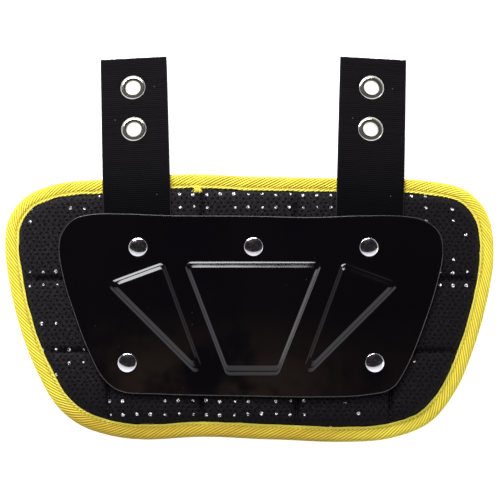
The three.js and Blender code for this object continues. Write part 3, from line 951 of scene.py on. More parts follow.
def inflate():
    """The front and back heights after the cloth is blown up against its pinned seams."""
    count = len(pad_points)
    faces = [np.column_stack([pad_points, heights]) for heights in (front_height, back_height)]
    piece = new_piece("pad_blow", np.vstack(faces) * MM, pad_faces)
    sewn = (pad_seam < SEWN_REACH) | (pad_edge < LAP_EDGE + TUCKED_REACH)
    pins = piece.vertex_groups.new(name="sewn")
    pins.add([int(i) for i in np.flatnonzero(np.tile(sewn, 2))], 1.0, "REPLACE")
    cloth = piece.modifiers.new("blow", "CLOTH")
    for key, value in BLOW_CLOTH.items():
        setattr(cloth.settings, key, value)
    cloth.settings.effector_weights.gravity = 0
    cloth.collision_settings.use_collision = False
    scene = bpy.context.scene
    for step in range(1, BLOW_FRAMES + 1):
        scene.frame_set(step)
    blown = piece.evaluated_get(bpy.context.evaluated_depsgraph_get()).to_mesh()
    moved = np.empty(len(blown.vertices) * 3, np.float32)
    blown.vertices.foreach_get("co", moved)
    scene.frame_set(1)
    bpy.data.objects.remove(piece)
    heights = moved.reshape(-1, 3)[:, 2] / MM
    return heights[:count], heights[count:]


blown_front, blown_back = inflate()
rise_front = np.clip(blown_front - front_height, 0, None)
rise_back = np.clip(back_height - blown_back, 0, None)
print("cloth rose by up to", rise_front.max().round(2), "front,", rise_back.max().round(2), "back")
front_height = front_height + MOST_RISE["front"] * np.tanh(rise_front / MOST_RISE["front"])
back_height = back_height - MOST_RISE["back"] * np.tanh(rise_back / MOST_RISE["back"])

# %% [markdown]
# Sewn cloth puckers beside its stitches and lies a little uneven between them, which seeded noise
# gives. Where the plate and the hangers lie on the pad, the foam is pressed flat, and it comes up
# again over a few millimetres beside them. A second simulation could press it, but easing the height
# under a limit is quick and never lets two pieces cross.

# %% Wrinkle the cloth and press the foam
# A wrinkle is its size across, its height and its seed
PUCKER = (5.5, 0.35, 1)
EASE = (21, 0.4, 2)
BACK_PUCKER = (6, 0.2, 3)
PUCKER_REACH = 5
WORKED_REACH = 5
PRESS_SOFTNESS = 0.6
PRESS_ROOM = 0.25
# How fast the foam comes up beside what presses it, after how much room, and the most it may stand
PLATE_RECOVERY = (0.35, 1.5)
STRAP_RECOVERY = (1.1, 0.4)
MOST_OVER_PAD = 2.5
FIELD_EDGE = LAP_EDGE - 0.2
LOWEST_BACK = -0.5


def wrinkle(size, height, seed):
    return wander(pad_points, size, seed) * height


worked = np.clip((pad_edge - LAP_EDGE) / WORKED_REACH, 0, 1)
by_seam = np.exp(-pad_seam / PUCKER_REACH)
front_height += (wrinkle(*PUCKER) * by_seam + wrinkle(*EASE)) * worked
back_height += (wrinkle(*BACK_PUCKER) * by_seam) * worked


def press(height, limit):
    """The height, eased under a limit."""
    over = (height - limit) / PRESS_SOFTNESS
    return limit - PRESS_SOFTNESS * np.log1p(np.exp(-np.clip(over, -40, 40)))


plate_far = distance_to(pad_points, even_loop(plate_loop, 1200))
plate_far = np.where(inside_loop(pad_points, plate_loop), 0, plate_far)
speed, room = PLATE_RECOVERY
plate_limit = PLATE_BACK - PRESS_ROOM + speed * np.maximum(0, plate_far - room)
limit = np.minimum(plate_limit, PAD_THICKNESS + MOST_OVER_PAD)
speed, room = STRAP_RECOVERY
for side in (-1, 1):
    across, along = strap_place(side, pad_points[:, 0], pad_points[:, 1])
    beside = np.maximum(0, np.abs(across) - STRAP_WIDTH / 2 - room)
    before = np.maximum(0, -STRAP_TAIL - along)
    under = STRAP_SEAT - strap_drop(along) - PRESS_ROOM
    limit = np.minimum(limit, under + speed * np.hypot(beside, before))
in_field = pad_edge > FIELD_EDGE
pressed_front = np.maximum(np.where(in_field, press(front_height, limit), front_height), FLANGE_HIGH)
floor_clear = np.where(in_field, np.maximum(back_height, LOWEST_BACK), back_height)
print("pressed front up to", pressed_front.max().round(2), "back down to", floor_clear.min().round(2))

# %% [markdown]
# The pad's mesh carries what its finish needs: a flat coordinate for the knit, the seams' shadow, and
# the share of vents that show a glint. A painted mask could hold these, but values on the points
# follow the pad when its size changes. As in the photograph, glints are common along the seams and the
# edge, and rarer at the lower right.


# %% The pad itself
# Shares of bright vents in the open field, by a seam, by the edge, and at most
VENT_SHARES = {"field": 0.03, "seam": 0.95, "edge": 1.3, "most": 0.97}
COLUMN_SHARE = 0.35
SHADED_SHARE = 0.75
NEAR_SEAM = 5
SEAM_BLUR = 3.5
EDGE_ROW = 9
EDGE_BLUR = 9.5


def near_lines(values, lines):
    """1 beside the nearest line, and fading out beyond."""
    return np.exp(-((np.maximum(0, line_distance(values, lines) - NEAR_SEAM) / SEAM_BLUR) ** 2))


def vent_shares():
    """The share of the vents that show a glint, at each point of the plan."""
    across, up = pad_points[:, 0], pad_points[:, 1]
    columns = COLUMN_SHARE * near_lines(across, SEAM_COLUMNS)
    near_seam = np.maximum(near_lines(up, SEAM_ROWS), columns)
    level = np.clip((np.abs(up) - 55) / 15, 0.3, 1) * np.clip((82 - np.abs(across)) / 12, 0.3, 1)
    near_edge = np.exp(-(((pad_edge - LAP_EDGE - EDGE_ROW) / EDGE_BLUR) ** 2)) * level
    shaded = np.clip((across - 36) / 12, 0, 1) * np.clip((10 - up) / 30, 0, 1)
    share = VENT_SHARES["field"] + VENT_SHARES["seam"] * near_seam + VENT_SHARES["edge"] * near_edge
    return np.clip(share, 0, VENT_SHARES["most"]) * (1 - SHADED_SHARE * shaded)


def make_pad():
    piece = new_piece("quilted_pad", front_and_back(pad_points, pressed_front, floor_clear), pad_faces)
    add_map(piece, "flat", np.vstack([pad_points, pad_points * (-1, 1)]))
    vents = vent_shares()
    add_value(piece, "vent_share", np.concatenate([vents, vents * 0.5]))
    add_value(piece, "groove", np.tile(np.exp(-(pad_seam**2)) * worked, 2))
    return piece


quilted_pad = make_pad()
dress(quilted_pad, mesh_cloth, "mesh_cloth", "pad")

# %% [markdown]
# The binding is yellow twill tape. Its lines slant across the tape, with painted shade, a warm brown,
# between the raised yarns. At the sides and the lower right, where the light falls along the lines,
# that painted shade is lightened, so the lines hardly show there. A painted shadow lies along the sewn
# line. Random grime dulls the tape, and the near side is painted darker still, as shade, most towards
# the left. The lip beyond the sewing is a paler yellow, laid over the grime and the shade. Modelled
# yarns would be too fine to see, so colour and bump draw them, at a pitch that goes round the pad a
# whole number of times.

# %% Finish: yellow twill tape
TWILL_ANGLE = math.radians(29)
TWILL_LINES = (-math.sin(TWILL_ANGLE), math.cos(TWILL_ANGLE))
TAPE_COUNT = 680
TAPE_SHADE = (0.36, 0.17, 0.006)
TAPE_YELLOW = (1.0, 0.86, 0.08)
TAPE_FADED = (0.88, 0.68, 0.05)
TAPE_SEWN_SHADOW = (0.34, 0.22, 0.012)
TAPE_SOIL_AND_SHADE = (0.46, 0.29, 0.02)
TAPE_LIP = (1.0, 0.9, 0.14)
# Where light washes out the painted lines, and where the near side is painted dark, from and to in
# millimetres
LIGHT_WASHED_SIDES = (115.0, 165.0, 0.0, 0.5)
LIGHT_WASHED_RIGHTWARD = (40.0, 100.0, 0.0, 0.55)
LIGHT_WASHED_DOWNWARD = (-115.0, -85.0, 1.0, 0.0)
NEAR_SHADE_DOWNWARD = (-137.0, -108.0, 0.72, 0.0)
NEAR_SHADE_LEFTWARD = (40.0, 115.0, 1.0, 0.1)
FADE_NOISE = (0.05, 4.0, 0.6)
SEWN_SHADOW_NOISE = (0.03, 3.0)
GRIME_NOISE = (0.11, 6.0, 0.7)
TWILL_PITCH = 3.8

tape_loop = smooth_loop(PAD_OUTLINE, PAD_WIDTH, PAD_HEIGHT, (0, 0), TAPE_COUNT)
tape_step = np.linalg.norm(np.roll(tape_loop, -1, axis=0) - tape_loop, axis=1)
tape_along = np.concatenate([[0], np.cumsum(tape_step)[:-1]])
tape_length = tape_step.sum()
twill_pitch = tape_length / round(tape_length / TWILL_PITCH)


def make_binding_tape():
    material, tree, shader = new_finish(
        "binding_tape", Roughness=0.62, Specular_IOR_Level=0.25, Sheen_Weight=0.1,
    )
    place = mapped(tree, "tape")
    ribs = rib_lines(tree, place, TWILL_LINES, twill_pitch * math.sin(TWILL_ANGLE), 0.35)
    yarn = rib_lines(tree, place, (1.0, 0.0), 0.55, 0.6)
    x, y, _ = parts_of(tree, millimetres(tree))
    # Painted light: at the sides and the lower right, the lines' painted shade is lightened
    washed_sides = ramp(tree, calc(tree, "ABSOLUTE", x), *LIGHT_WASHED_SIDES)
    lower_right = times(tree, ramp(tree, x, *LIGHT_WASHED_RIGHTWARD), ramp(tree, y, *LIGHT_WASHED_DOWNWARD))
    washed_by_light = calc(tree, "MAXIMUM", washed_sides, lower_right)
    # Painted shade, a warm brown, between the raised yarns
    raised = calc(tree, "MAXIMUM", ramp(tree, ribs["Shade"], 0.16, 0.6), washed_by_light)
    lit = blend(tree, raised, TAPE_SHADE, TAPE_YELLOW)
    fade = ramp(tree, noise_at(tree, place, *FADE_NOISE), 0.4, 0.75, 0.0, 0.3)
    lit = blend(tree, fade, lit, TAPE_FADED)
    # Painted shadow along the sewn line, of uneven strength
    shadow_strength = ramp(tree, noise_at(tree, place, *SEWN_SHADOW_NOISE), 0.4, 0.6, 0.35, 0.9)
    lit = blend(tree, times(tree, point_value(tree, "sewn_line_shadow"), shadow_strength), lit, TAPE_SEWN_SHADOW)
    grime = ramp(tree, noise_at(tree, place, *GRIME_NOISE), 0.66, 0.8, 0.0, 0.2)
    # Painted shade on the near side, most towards the left, in one colour with the real grime
    painted_near_shade = times(tree, ramp(tree, y, *NEAR_SHADE_DOWNWARD), ramp(tree, x, *NEAR_SHADE_LEFTWARD))
    lit = blend(tree, calc(tree, "MAXIMUM", grime, painted_near_shade), lit, TAPE_SOIL_AND_SHADE)
    lit = blend(tree, times(tree, point_value(tree, "lip"), 0.75), lit, TAPE_LIP)
    feed(tree, shader["Base Color"], lit)
    weave = plus(tree, ribs["Height"], times(tree, yarn["Height"], 0.05))
    feed(tree, shader["Normal"], bump(tree, weave, 0.0006, 1.0))
    return material


binding_tape = make_binding_tape()
print("tape length:", round(tape_length), "mm, twill pitch along it:", round(twill_pitch, 3))

# %% [markdown]
# The tape is folded over the pad's edge and stitched through. Its section is short and the same all
# round. A bevelled curve could carry it, but swept in code it can also take the sewn line that sinks
# in near the inner edge, the lip beyond it that springs up a little, and the gathers where the outline
# turns tightly. The cut width is the section laid flat: a lap in front, the fold, and a lap behind.

# %% The folded tape
SEWN_INWARD = 8.9
TAPE_MIDDLE = BOUND_EDGE_BASE + BOUND_EDGE_THICKNESS / 2
STITCH_PITCH = tape_length / round(tape_length / 3.3)
SEWN_DEPTH = 0.22
SEWN_WIDTH = 0.7
GATHER_HEIGHT = 0.22
# Front half of the section: distance in from the fold, and height over the edge's middle
TAPE_FRONT = [
    (0.0, 0.0), (0.12, 0.85), (0.55, 1.75), (1.3, 2.5), (2.4, 3.0), (3.8, 3.22), (5.4, 3.32),
    (7.0, 3.3), (8.1, 3.12), (8.6, 2.82), (SEWN_INWARD, 2.68), (9.2, 2.82), (9.7, 3.1),
    (10.4, 3.16), (10.9, 3.0), (11.1, 2.6), (10.9, 2.15),
]
TAPE_INNER = [(8.0, 2.05), (4.3, 2.0), (2.2, 1.6), (1.35, 0.9), (1.2, 0.0)]
OUTER_FACE = 2.4
LIP_INWARD = 9.5


def tape_section():
    """The closed section, from the fold over the front, back under it, and the same behind."""
    behind = [(inward, -height) for inward, height in TAPE_FRONT[1:]]
    inner_behind = [(inward, -height) for inward, height in TAPE_INNER[:-1]]
    return np.array(TAPE_FRONT + TAPE_INNER + inner_behind[::-1] + behind[::-1])


def tape_turning():
    """How tightly the outline turns at each point, from 0 to 1."""
    ahead = np.roll(tape_loop, -6, axis=0) - tape_loop
    behind = tape_loop - np.roll(tape_loop, 6, axis=0)
    cross = behind[:, 0] * ahead[:, 1] - behind[:, 1] * ahead[:, 0]
    return np.clip(np.arctan2(cross, (behind * ahead).sum(axis=1)) / 0.35, 0, 1)


def tape_faces(section):
    """The swept faces, with the flat coordinate of each corner along and across the tape."""
    steps = np.linalg.norm(np.diff(section, axis=0), axis=1)
    across = np.concatenate([[0], np.cumsum(steps)])
    ends = np.append(tape_along[1:], tape_length)
    faces, corners = [], []
    for k in range(len(section)):
        n = (k + 1) % len(section)
        for i in range(TAPE_COUNT):
            j = (i + 1) % TAPE_COUNT
            a, b = k * TAPE_COUNT, n * TAPE_COUNT
            faces.append((a + i, a + j, b + j, b + i))
            corners += [(tape_along[i], across[k]), (ends[i], across[k])]
            corners += [(ends[i], across[n]), (tape_along[i], across[n])]
    return faces, np.array(corners, np.float32)


def make_binding():
    section = tape_section()
    turning = tape_turning()
    sway = wander(tape_loop, 32, 4) * 0.28
    edge_sway = wander(tape_loop, 9, 5) * 0.5
    stitch = np.cos(2 * np.pi * tape_along / STITCH_PITCH)
    rows, sewn_shadow_rows, lip_rows = [], [], []
    for inward, height in section:
        outside = abs(height) > OUTER_FACE
        share = inward / TAPE_LAP
        lip = np.clip((share - 0.8) / 0.2, 0, 1)
        sewn = math.exp(-((inward - SEWN_INWARD) / SEWN_WIDTH) ** 2) * outside
        gather = wander(np.column_stack([tape_loop, np.full(TAPE_COUNT, inward)]), 4.5, 6)
        gathered = GATHER_HEIGHT * gather * (0.25 + 0.9 * turning) * np.clip(share * 2, 0, 1)
        lift = gathered - SEWN_DEPTH * sewn * stitch
        flat = inset(tape_loop, inward + edge_sway * lip + sway * (1 - share))
        rows.append(settle(np.column_stack([flat, TAPE_MIDDLE + height + np.sign(height) * lift])))
        sewn_shadow_rows.append(np.full(TAPE_COUNT, sewn))
        lip_rows.append(np.full(TAPE_COUNT, float(inward > LIP_INWARD and outside)))
    faces, corners = tape_faces(section)
    piece = new_piece("edge_tape", np.vstack(rows), faces)
    piece.data.uv_layers.new(name="tape").data.foreach_set("uv", corners.ravel())
    # This value paints a shadow along the sewn line in the tape's finish
    add_value(piece, "sewn_line_shadow", np.concatenate(sewn_shadow_rows))
    add_value(piece, "lip", np.concatenate(lip_rows))
    return piece


edge_tape = make_binding()
dress(edge_tape, binding_tape, "binding_tape", "edge_binding")

# %% [markdown]
# The hard plate is black moulded plastic, polished on both sides. It is nearly a mirror, so plain
# black would do for most of it. Broad, faint clouds of a warm reflection are painted on its near and
# left parts. Its rim is painted paler, partly as wear from handling, which makes it look used, and
# partly as a painted highlight along the edge.

# %% Finish: polished black moulding
SHELL_BLACK = (0.002, 0.0016, 0.0023)
SHELL_WARM_REFLECTION = (0.0108, 0.0073, 0.0059)
SHELL_WORN_AND_HIGHLIT = (0.07, 0.068, 0.072)
SHELL_DUST = (0.2, 0.19, 0.2)
SHELL_ROUGHNESS = 0.09
REFLECTION_DOWNWARD = (-105.0, -45.0, 1.0, 0.05)
REFLECTION_LEFTWARD = (10.0, 90.0, 1.0, 0.3)
REFLECTION_NOISE = (0.02, 3.0, 0.6)
SCUFF_NOISE = (0.25, 4.0, 0.6)
RIPPLE_NOISE = (0.045, 2.0)


def make_gloss_shell():
    material, tree, shader = new_finish("gloss_shell", Specular_IOR_Level=0.5, IOR=1.5)
    place = millimetres(tree)
    marks = place_group(tree, handling_marks, Place=place, Smudge_Size=42.0, Hairline_Pitch=0.7)
    x, y, _ = parts_of(tree, place)
    # Painted reflection: faint warm clouds on the near and left parts
    where = times(tree, ramp(tree, y, *REFLECTION_DOWNWARD), ramp(tree, x, *REFLECTION_LEFTWARD))
    reflection_clouds = ramp(tree, noise_at(tree, place, *REFLECTION_NOISE), 0.37, 0.58)
    colour = blend(tree, times(tree, where, reflection_clouds), SHELL_BLACK, SHELL_WARM_REFLECTION)
    # The rim is painted paler, partly as wear and partly as a painted highlight
    scuff = ramp(tree, noise_at(tree, place, *SCUFF_NOISE), 0.3, 0.6, 0.4, 1.0)
    colour = blend(tree, times(tree, point_value(tree, "rim"), scuff), colour, SHELL_WORN_AND_HIGHLIT)
    colour = dusted(tree, colour, place, SHELL_DUST, 0.4, Pitch=3.0, Size=0.07, Share=0.035)
    feed(tree, shader["Base Color"], colour)
    smudged = plus(tree, times(tree, marks["Smudge"], 0.05), SHELL_ROUGHNESS)
    feed(tree, shader["Roughness"], plus(tree, smudged, times(tree, marks["Hairlines"], 0.03)))
    feed(tree, shader["Normal"], bump(tree, noise_at(tree, place, *RIPPLE_NOISE), 0.0006, 0.1))
    return material


gloss_shell = make_gloss_shell()

# %% [markdown]
# Three panels stand proud of the plate and stiffen it. They could be extruded and bevelled, but gloss
# shows every dent of a bevel. So each panel's wall is made from loops that follow its corners, with
# close loops where the wall turns into the flat and at a narrow ledge halfway up.

# %% Loops of a raised panel
# Corners as shares of half the plate's width and height, with the wall that runs on from each
CENTRE_PANEL = [
    (-0.364, 0.475, "side"), (-0.136, -0.771, "foot"), (0.129, -0.771, "side"), (0.364, 0.475, "upper"),
]
LEFT_PANEL = [(-0.461, 0.475, "upper"), (-0.769, 0.241, "outer"), (-0.218, -0.91, "side")]
# The wall's course from the flat to the raised face: share of its width, and share of the rise
WALL_COURSE = [
    (-0.16, 0.0), (-0.08, 0.004), (0.0, 0.022), (0.08, 0.085), (0.16, 0.172), (0.335, 0.37),
    (0.36, 0.391), (0.378, 0.399), (0.412, 0.404), (0.43, 0.411), (0.455, 0.43), (0.83, 0.885),
    (0.91, 0.955), (1.0, 0.985), (1.08, 0.997), (1.18, 1.0),
]
CORNER_STEPS = 7
SIDE_STEP = 5.0


def unit(vector):
    return vector / np.linalg.norm(vector)


def panel_corners(table, mirror):
    """Corners on the flat layout and the wall widths, kept running with the inside on the left."""
    rows = table[::-1] if mirror else table
    middle_x = PLATE_SHIFT[0] + PANEL_SHIFT_ACROSS
    corners = np.array([
        (middle_x + (-a if mirror else a) * PLATE_WIDTH / 2, PLATE_SHIFT[1] + u * PLATE_HEIGHT / 2)
        for a, u, _ in rows
    ])
    named = [rows[(k + 1) % len(rows)][2] if mirror else rows[k][2] for k in range(len(rows))]
    return corners, [WALLS[name] for name in named]


def top_corners(corners, widths):
    """Each side moved inwards by its own wall."""
    moved = []
    for k, corner in enumerate(corners):
        into = unit(corner - corners[k - 1])
        out = unit(corners[(k + 1) % len(corners)] - corner)
        turn = into[0] * out[1] - into[1] * out[0]
        moved.append(corner + out * widths[k - 1] / turn - into * widths[k] / turn)
    return np.array(moved)


def corner_arc(corner, before, after, radius):
    """The points of one rounded corner."""
    back, on = unit(before - corner), unit(after - corner)
    half = math.acos(np.clip(back @ on, -1, 1)) / 2
    middle = unit(back + on)
    centre = corner + middle * radius / math.sin(half)
    turn = math.pi / 2 - half
    return np.array([
        centre - radius * np.array([
            middle[0] * math.cos(a) - middle[1] * math.sin(a),
            middle[0] * math.sin(a) + middle[1] * math.cos(a),
        ])
        for a in np.linspace(-turn, turn, CORNER_STEPS)
    ])


def rounded_loop(corners, radius, side_counts=None):
    """The loop with rounded corners and points along its sides, and how many points each side has."""
    before, after = np.roll(corners, 1, axis=0), np.roll(corners, -1, axis=0)
    arcs = [corner_arc(*around, radius) for around in zip(corners, before, after)]
    starts = [arc[0] for arc in arcs[1:] + arcs[:1]]
    if side_counts is None:
        side_counts = [
            max(2, round(np.linalg.norm(start - arc[-1]) / SIDE_STEP))
            for arc, start in zip(arcs, starts)
        ]
    points = []
    for arc, start, count in zip(arcs, starts, side_counts):
        points += list(arc)
        points += [arc[-1] + (start - arc[-1]) * s / count for s in range(1, count)]
    return np.array(points), side_counts


def panel_loops(table, mirror):
    """The panel's loops from the flat up to its raised face, with their heights."""
    corners, widths = panel_corners(table, mirror)
    foot, counts = rounded_loop(corners, PANEL_CORNER)
    top, _ = rounded_loop(top_corners(corners, widths), PANEL_TOP_CORNER, counts)
    return [(foot + (top - foot) * share, rise * PANEL_RISE) for share, rise in WALL_COURSE]


panels = [panel_loops(CENTRE_PANEL, False), panel_loops(LEFT_PANEL, False), panel_loops(LEFT_PANEL, True)]
print("panels:", len(panels), "loops in each:", len(panels[0]))

# %% [markdown]
# The plate itself is one sheet. Its rim is rounded off in front and slightly eased behind, as on a
# moulding, and it has a clear hole for each rivet. The holes could be cut with booleans, but as edges
# of the plan they come out clean. The grid of points stays a little away from every loop, so no thin
# triangle spoils the reflections.

# %% The plate
# The rim from the edge inwards: distance in, drop below the front face, rise of the back face, paleness
# from wear and a painted highlight
RIM = [
    (0.0, 0.8, 0.35, 0.9), (0.05, 0.5, 0.0, 1.0), (0.16, 0.25, 0.0, 0.9), (0.36, 0.08, 0.0, 0.5),
    (0.62, 0.01, 0.0, 0.15), (1.0, 0.0, 0.0, 0.0), (3.0, 0.0, 0.0, 0.0),
]
RIVETS = {
    "top_left": (-1, 1), "top_centre": (0, 1), "top_right": (1, 1),
    "lower_left": (-1, -1), "lower_right": (1, -1),
}
PLATE_PITCH = 5.5
PLATE_ROOM = 3
WALL_ROOM = 2.2


def make_plate():
    rims = [inset(plate_loop, inward) for inward, _, _, _ in RIM]
    loops = rims + [loop for panel in panels for loop, _ in panel]
    rises = [np.full(len(plate_loop), -drop) for _, drop, _, _ in RIM]
    rises += [np.full(len(loop), rise) for panel in panels for loop, rise in panel]
    holes = [circle(rivet_place(*place), RIVET_SHANK / 2 + GAP, 24) for place in RIVETS.values()]
    grid = point_grid(plate_loop, PLATE_PITCH)
    keep = inside_loop(grid, rims[-1]) & (distance_to(grid, rims[-1]) > PLATE_ROOM)
    keep &= clear_of(grid, holes, PLATE_ROOM)
    raised = np.zeros(len(grid), bool)
    for panel in panels:
        outer, inner = panel[0][0], panel[-1][0]
        keep &= ~(inside_loop(grid, outer) & ~inside_loop(grid, inner))
        for loop in (outer, inner):
            keep &= distance_to(grid, even_loop(loop, 400)) > WALL_ROOM
        raised |= inside_loop(grid, inner)
    points, triangles = plan_triangles(loops, holes, grid[keep], rims[0])
    rises += [np.zeros(len(hole)) for hole in holes]
    front = PLATE_FRONT + np.concatenate([*rises, raised[keep] * PANEL_RISE])
    back = front - PLATE_THICKNESS
    wear_and_highlight = np.zeros(len(points))
    for k, (_, _, back_rise, worn_and_highlit) in enumerate(RIM):
        ring = ring_indices(rims, k)
        back[ring] = PLATE_BACK + back_rise
        wear_and_highlight[ring] = worn_and_highlit
    faces = sheet_faces(triangles, len(points), wall_rings(loops, holes))
    piece = new_piece("moulded_plate", front_and_back(points, front, back), faces)
    add_value(piece, "rim", np.concatenate([wear_and_highlight, wear_and_highlight * 0.5]))
    return piece


moulded_plate = make_plate()
dress(moulded_plate, gloss_shell, "gloss_shell", "hard_plate")

# %% [markdown]
# The webbing is black and ribbed straight across. It is painted darker near the plate, as shade where
# the plate shelters it from the light. Its selvedges are painted paler, partly as wear and partly as a
# painted highlight, and it picks up more lint than the rest. Modelled ribs would take very many faces,
# so the same group of ribs as the tape's draws them, with another direction and pitch.

# %% Finish: black webbing
WEB_SHADE = (0.0022, 0.0018, 0.0024)
WEB_THREAD = (0.0082, 0.0072, 0.0085)
WEB_SHELTERED = (0.0016, 0.0014, 0.0018)
WEB_LINT = (0.16, 0.15, 0.16)
WEB_SELVEDGE_WORN_AND_HIGHLIT = (0.045, 0.042, 0.046)
SHELTER = (25.0, 95.0, 0.9, 0.0)


def make_webbing():
    material, tree, shader = new_finish("webbing", Roughness=0.55, Specular_IOR_Level=0.035)
    place = mapped(tree, "strip")
    ribs = rib_lines(tree, place, (0.0, 1.0), 1.55, 0.3)
    yarn = rib_lines(tree, place, (1.0, 0.0), 0.8, 0.5)
    thread = times(tree, ribs["Shade"], ramp(tree, yarn["Shade"], 0.0, 1.0, 0.7, 1.0))
    colour = blend(tree, thread, WEB_SHADE, WEB_THREAD)
    along = parts_of(tree, place)[1]
    # Painted shade near the plate
    colour = blend(tree, ramp(tree, along, *SHELTER), colour, WEB_SHELTERED)
    colour = dusted(tree, colour, place, WEB_LINT, 0.55, Pitch=5.0, Size=0.09, Share=0.14)
    # The selvedges are painted paler, partly as wear and partly as a painted highlight
    colour = blend(tree, times(tree, point_value(tree, "selvedge"), 0.7), colour, WEB_SELVEDGE_WORN_AND_HIGHLIT)
    feed(tree, shader["Base Color"], colour)
    weave = plus(tree, ribs["Height"], times(tree, yarn["Height"], 0.4))
    feed(tree, shader["Normal"], bump(tree, weave, 0.00025, 0.6))
    return material


webbing = make_webbing()

# %% [markdown]
# The hangers are stiff woven webbing, 2 mm thick. A cloth simulation would only make them limp, so
# they are modelled directly: a plan of the strip with its holes, given a rounded selvedge and a rough,
# heat-cut tip. The free end waves a little, except round the grommets, which hold it flat.

# %% The hangers
# The selvedge from the edge inwards: distance in, drop below the face, paleness from wear and a painted
# highlight
SELVEDGE = [(0.0, 0.85, 0.9), (0.12, 0.42, 1.0), (0.4, 0.14, 0.45), (0.9, 0.0, 0.0), (2.4, 0.03, 0.0)]
TIP_STEPS = 96
EDGE_STEP = 3
TIP_ROUGHNESS = (1.3, 0.35, 0.1)
STRAP_PITCH_INSIDE = 4.5
STRAP_ROOM = 2
WAVE_SIZE = 45
WAVE_HEIGHT = 0.5
STRAP_SIDES = {"left": -1, "right": 1}
GROMMET_ALONG = {
    "upper": STRAP_REACH - GROMMET_FROM_TIP,
    "lower": STRAP_REACH - GROMMET_FROM_TIP - GROMMET_PITCH,
}


def strip_outline(margin, seed):
    """A hanger's outline in its own across and along, with its cut tip a little rough."""
    half, low, high = STRAP_WIDTH / 2 - margin, -STRAP_TAIL + margin, STRAP_REACH - margin
    corners = np.array([(half, high), (-half, high), (-half, low), (half, low)])
    loop = []
    for k, corner in enumerate(corners):
        on = corners[(k + 1) % 4]
        steps = TIP_STEPS if k == 0 else round(np.linalg.norm(on - corner) / EDGE_STEP)
        loop += [corner + (on - corner) * s / steps for s in range(steps)]
    loop = np.array(loop)
    tip = loop[:, 1] > high - 0.01
    size, height, most = TIP_ROUGHNESS
    rough = wander(loop, size, seed) * height
    loop[tip, 1] += np.minimum(rough[tip], most)
    return loop


def make_strap(name, side):
    loops = [strip_outline(margin, 7 + side) for margin, _, _ in SELVEDGE]
    centres = [(GROMMET_SHIFT_ACROSS, along) for along in GROMMET_ALONG.values()]
    holes = [circle(centre, GROMMET_BARREL / 2 + GAP, 32) for centre in centres]
    holes.append(circle((0, 0), RIVET_SHANK / 2 + GAP, 20))
    grid = point_grid(loops[-1], STRAP_PITCH_INSIDE)
    keep = inside_loop(grid, loops[-1])
    keep &= distance_to(grid, even_loop(loops[-1], 400)) > STRAP_ROOM
    keep &= clear_of(grid, holes, STRAP_ROOM)
    points, triangles = plan_triangles(loops, holes, grid[keep], loops[0])
    edge, worn_and_highlit = np.zeros(len(points)), np.zeros(len(points))
    for k, (_, drop, wear_and_highlight) in enumerate(SELVEDGE):
        ring = slice(k * len(loops[0]), (k + 1) * len(loops[0]))
        edge[ring] = drop
        worn_and_highlit[ring] = wear_and_highlight
    across, along = points[:, 0], points[:, 1]
    free = np.clip((along - BEND_END) / 40, 0, 1)
    calm = np.min([np.hypot(across, along - a) for a in GROMMET_ALONG.values()], axis=0)
    waves = np.abs(wander(points, WAVE_SIZE, 11 + side))
    lift = WAVE_HEIGHT * waves * free * np.clip((calm - 10) / 14, 0, 1)
    faces = sheet_faces(triangles, len(points), wall_rings(loops, holes))
    piece = new_piece(name, np.vstack([
        strap_points(side, across, along, STRAP_THICKNESS - edge + lift),
        strap_points(side, across, along, edge * 0.9 + lift),
    ]), faces)
    add_map(piece, "strip", np.vstack([points, points]))
    add_value(piece, "selvedge", np.tile(worn_and_highlit, 2))
    return piece


for strap_name, strap_side in STRAP_SIDES.items():
    strip = make_strap(f"webbing_{strap_name}", strap_side)
    dress(strip, webbing, "webbing", f"strap_{strap_name}")

# %% [markdown]
# The rivets and grommets are plated with nickel, and the washers are plain steel. A clean mirror would
# look drawn on, so the metal is smudged and has fine hairlines. The grommets' nickel is warmer and
# slightly satin, and their throat is dark, because little light gets down the bore.

# %% Finish: bright nickel and plain steel
THROAT_SHADE = (0.028, 0.026, 0.024)


def make_nickel(name, colour, roughness, metallic=1.0):
    material, tree, shader = new_finish(name, Metallic=metallic)
    marks = place_group(
        tree, handling_marks, Place=millimetres(tree), Smudge_Size=3.5, Hairline_Pitch=0.12,
    )
    dull = tuple(0.86 * c for c in colour)
    clean = blend(tree, marks["Smudge"], colour, dull)
    shaded = blend(tree, point_value(tree, "throat"), clean, THROAT_SHADE)
    feed(tree, shader["Base Color"], shaded)
    smudged = plus(tree, times(tree, marks["Smudge"], 0.05), roughness)
    feed(tree, shader["Roughness"], plus(tree, smudged, times(tree, marks["Hairlines"], 0.05)))
    feed(tree, shader["Normal"], bump(tree, marks["Hairlines"], 0.00001, 0.2))
    return material


nickel = make_nickel("nickel", (0.83, 0.82, 0.84), 0.1)
warm_nickel = make_nickel("warm_nickel", (0.86, 0.83, 0.73), 0.12, 0.95)
washer_steel = make_nickel("washer_steel", (0.52, 0.52, 0.54), 0.3)

# %% [markdown]
# The hardware is turned or pressed from round stock, so each piece is a profile spun round its axis. A
# Screw modifier could spin it, but points made in code close the mesh without doubles. A rivet is a
# low dome in front, and behind the pad its shank is formed over a plain washer.

# %% Turned pieces
DOME_BALL = 16
DOME_STEPS = 12
# The dome's brim: distance in from the head's edge, and drop below the ball's lower end
BRIM = [(0.04, 0.42), (0.16, 0.2), (0.3, 0.08)]
# The formed end: shares of its radius and of its height below the washer
PEEN = [(0.75, 1), (0.95, 0.75), (1, 0.4), (0.97, 0)]
WASHER_EDGE = 0.25


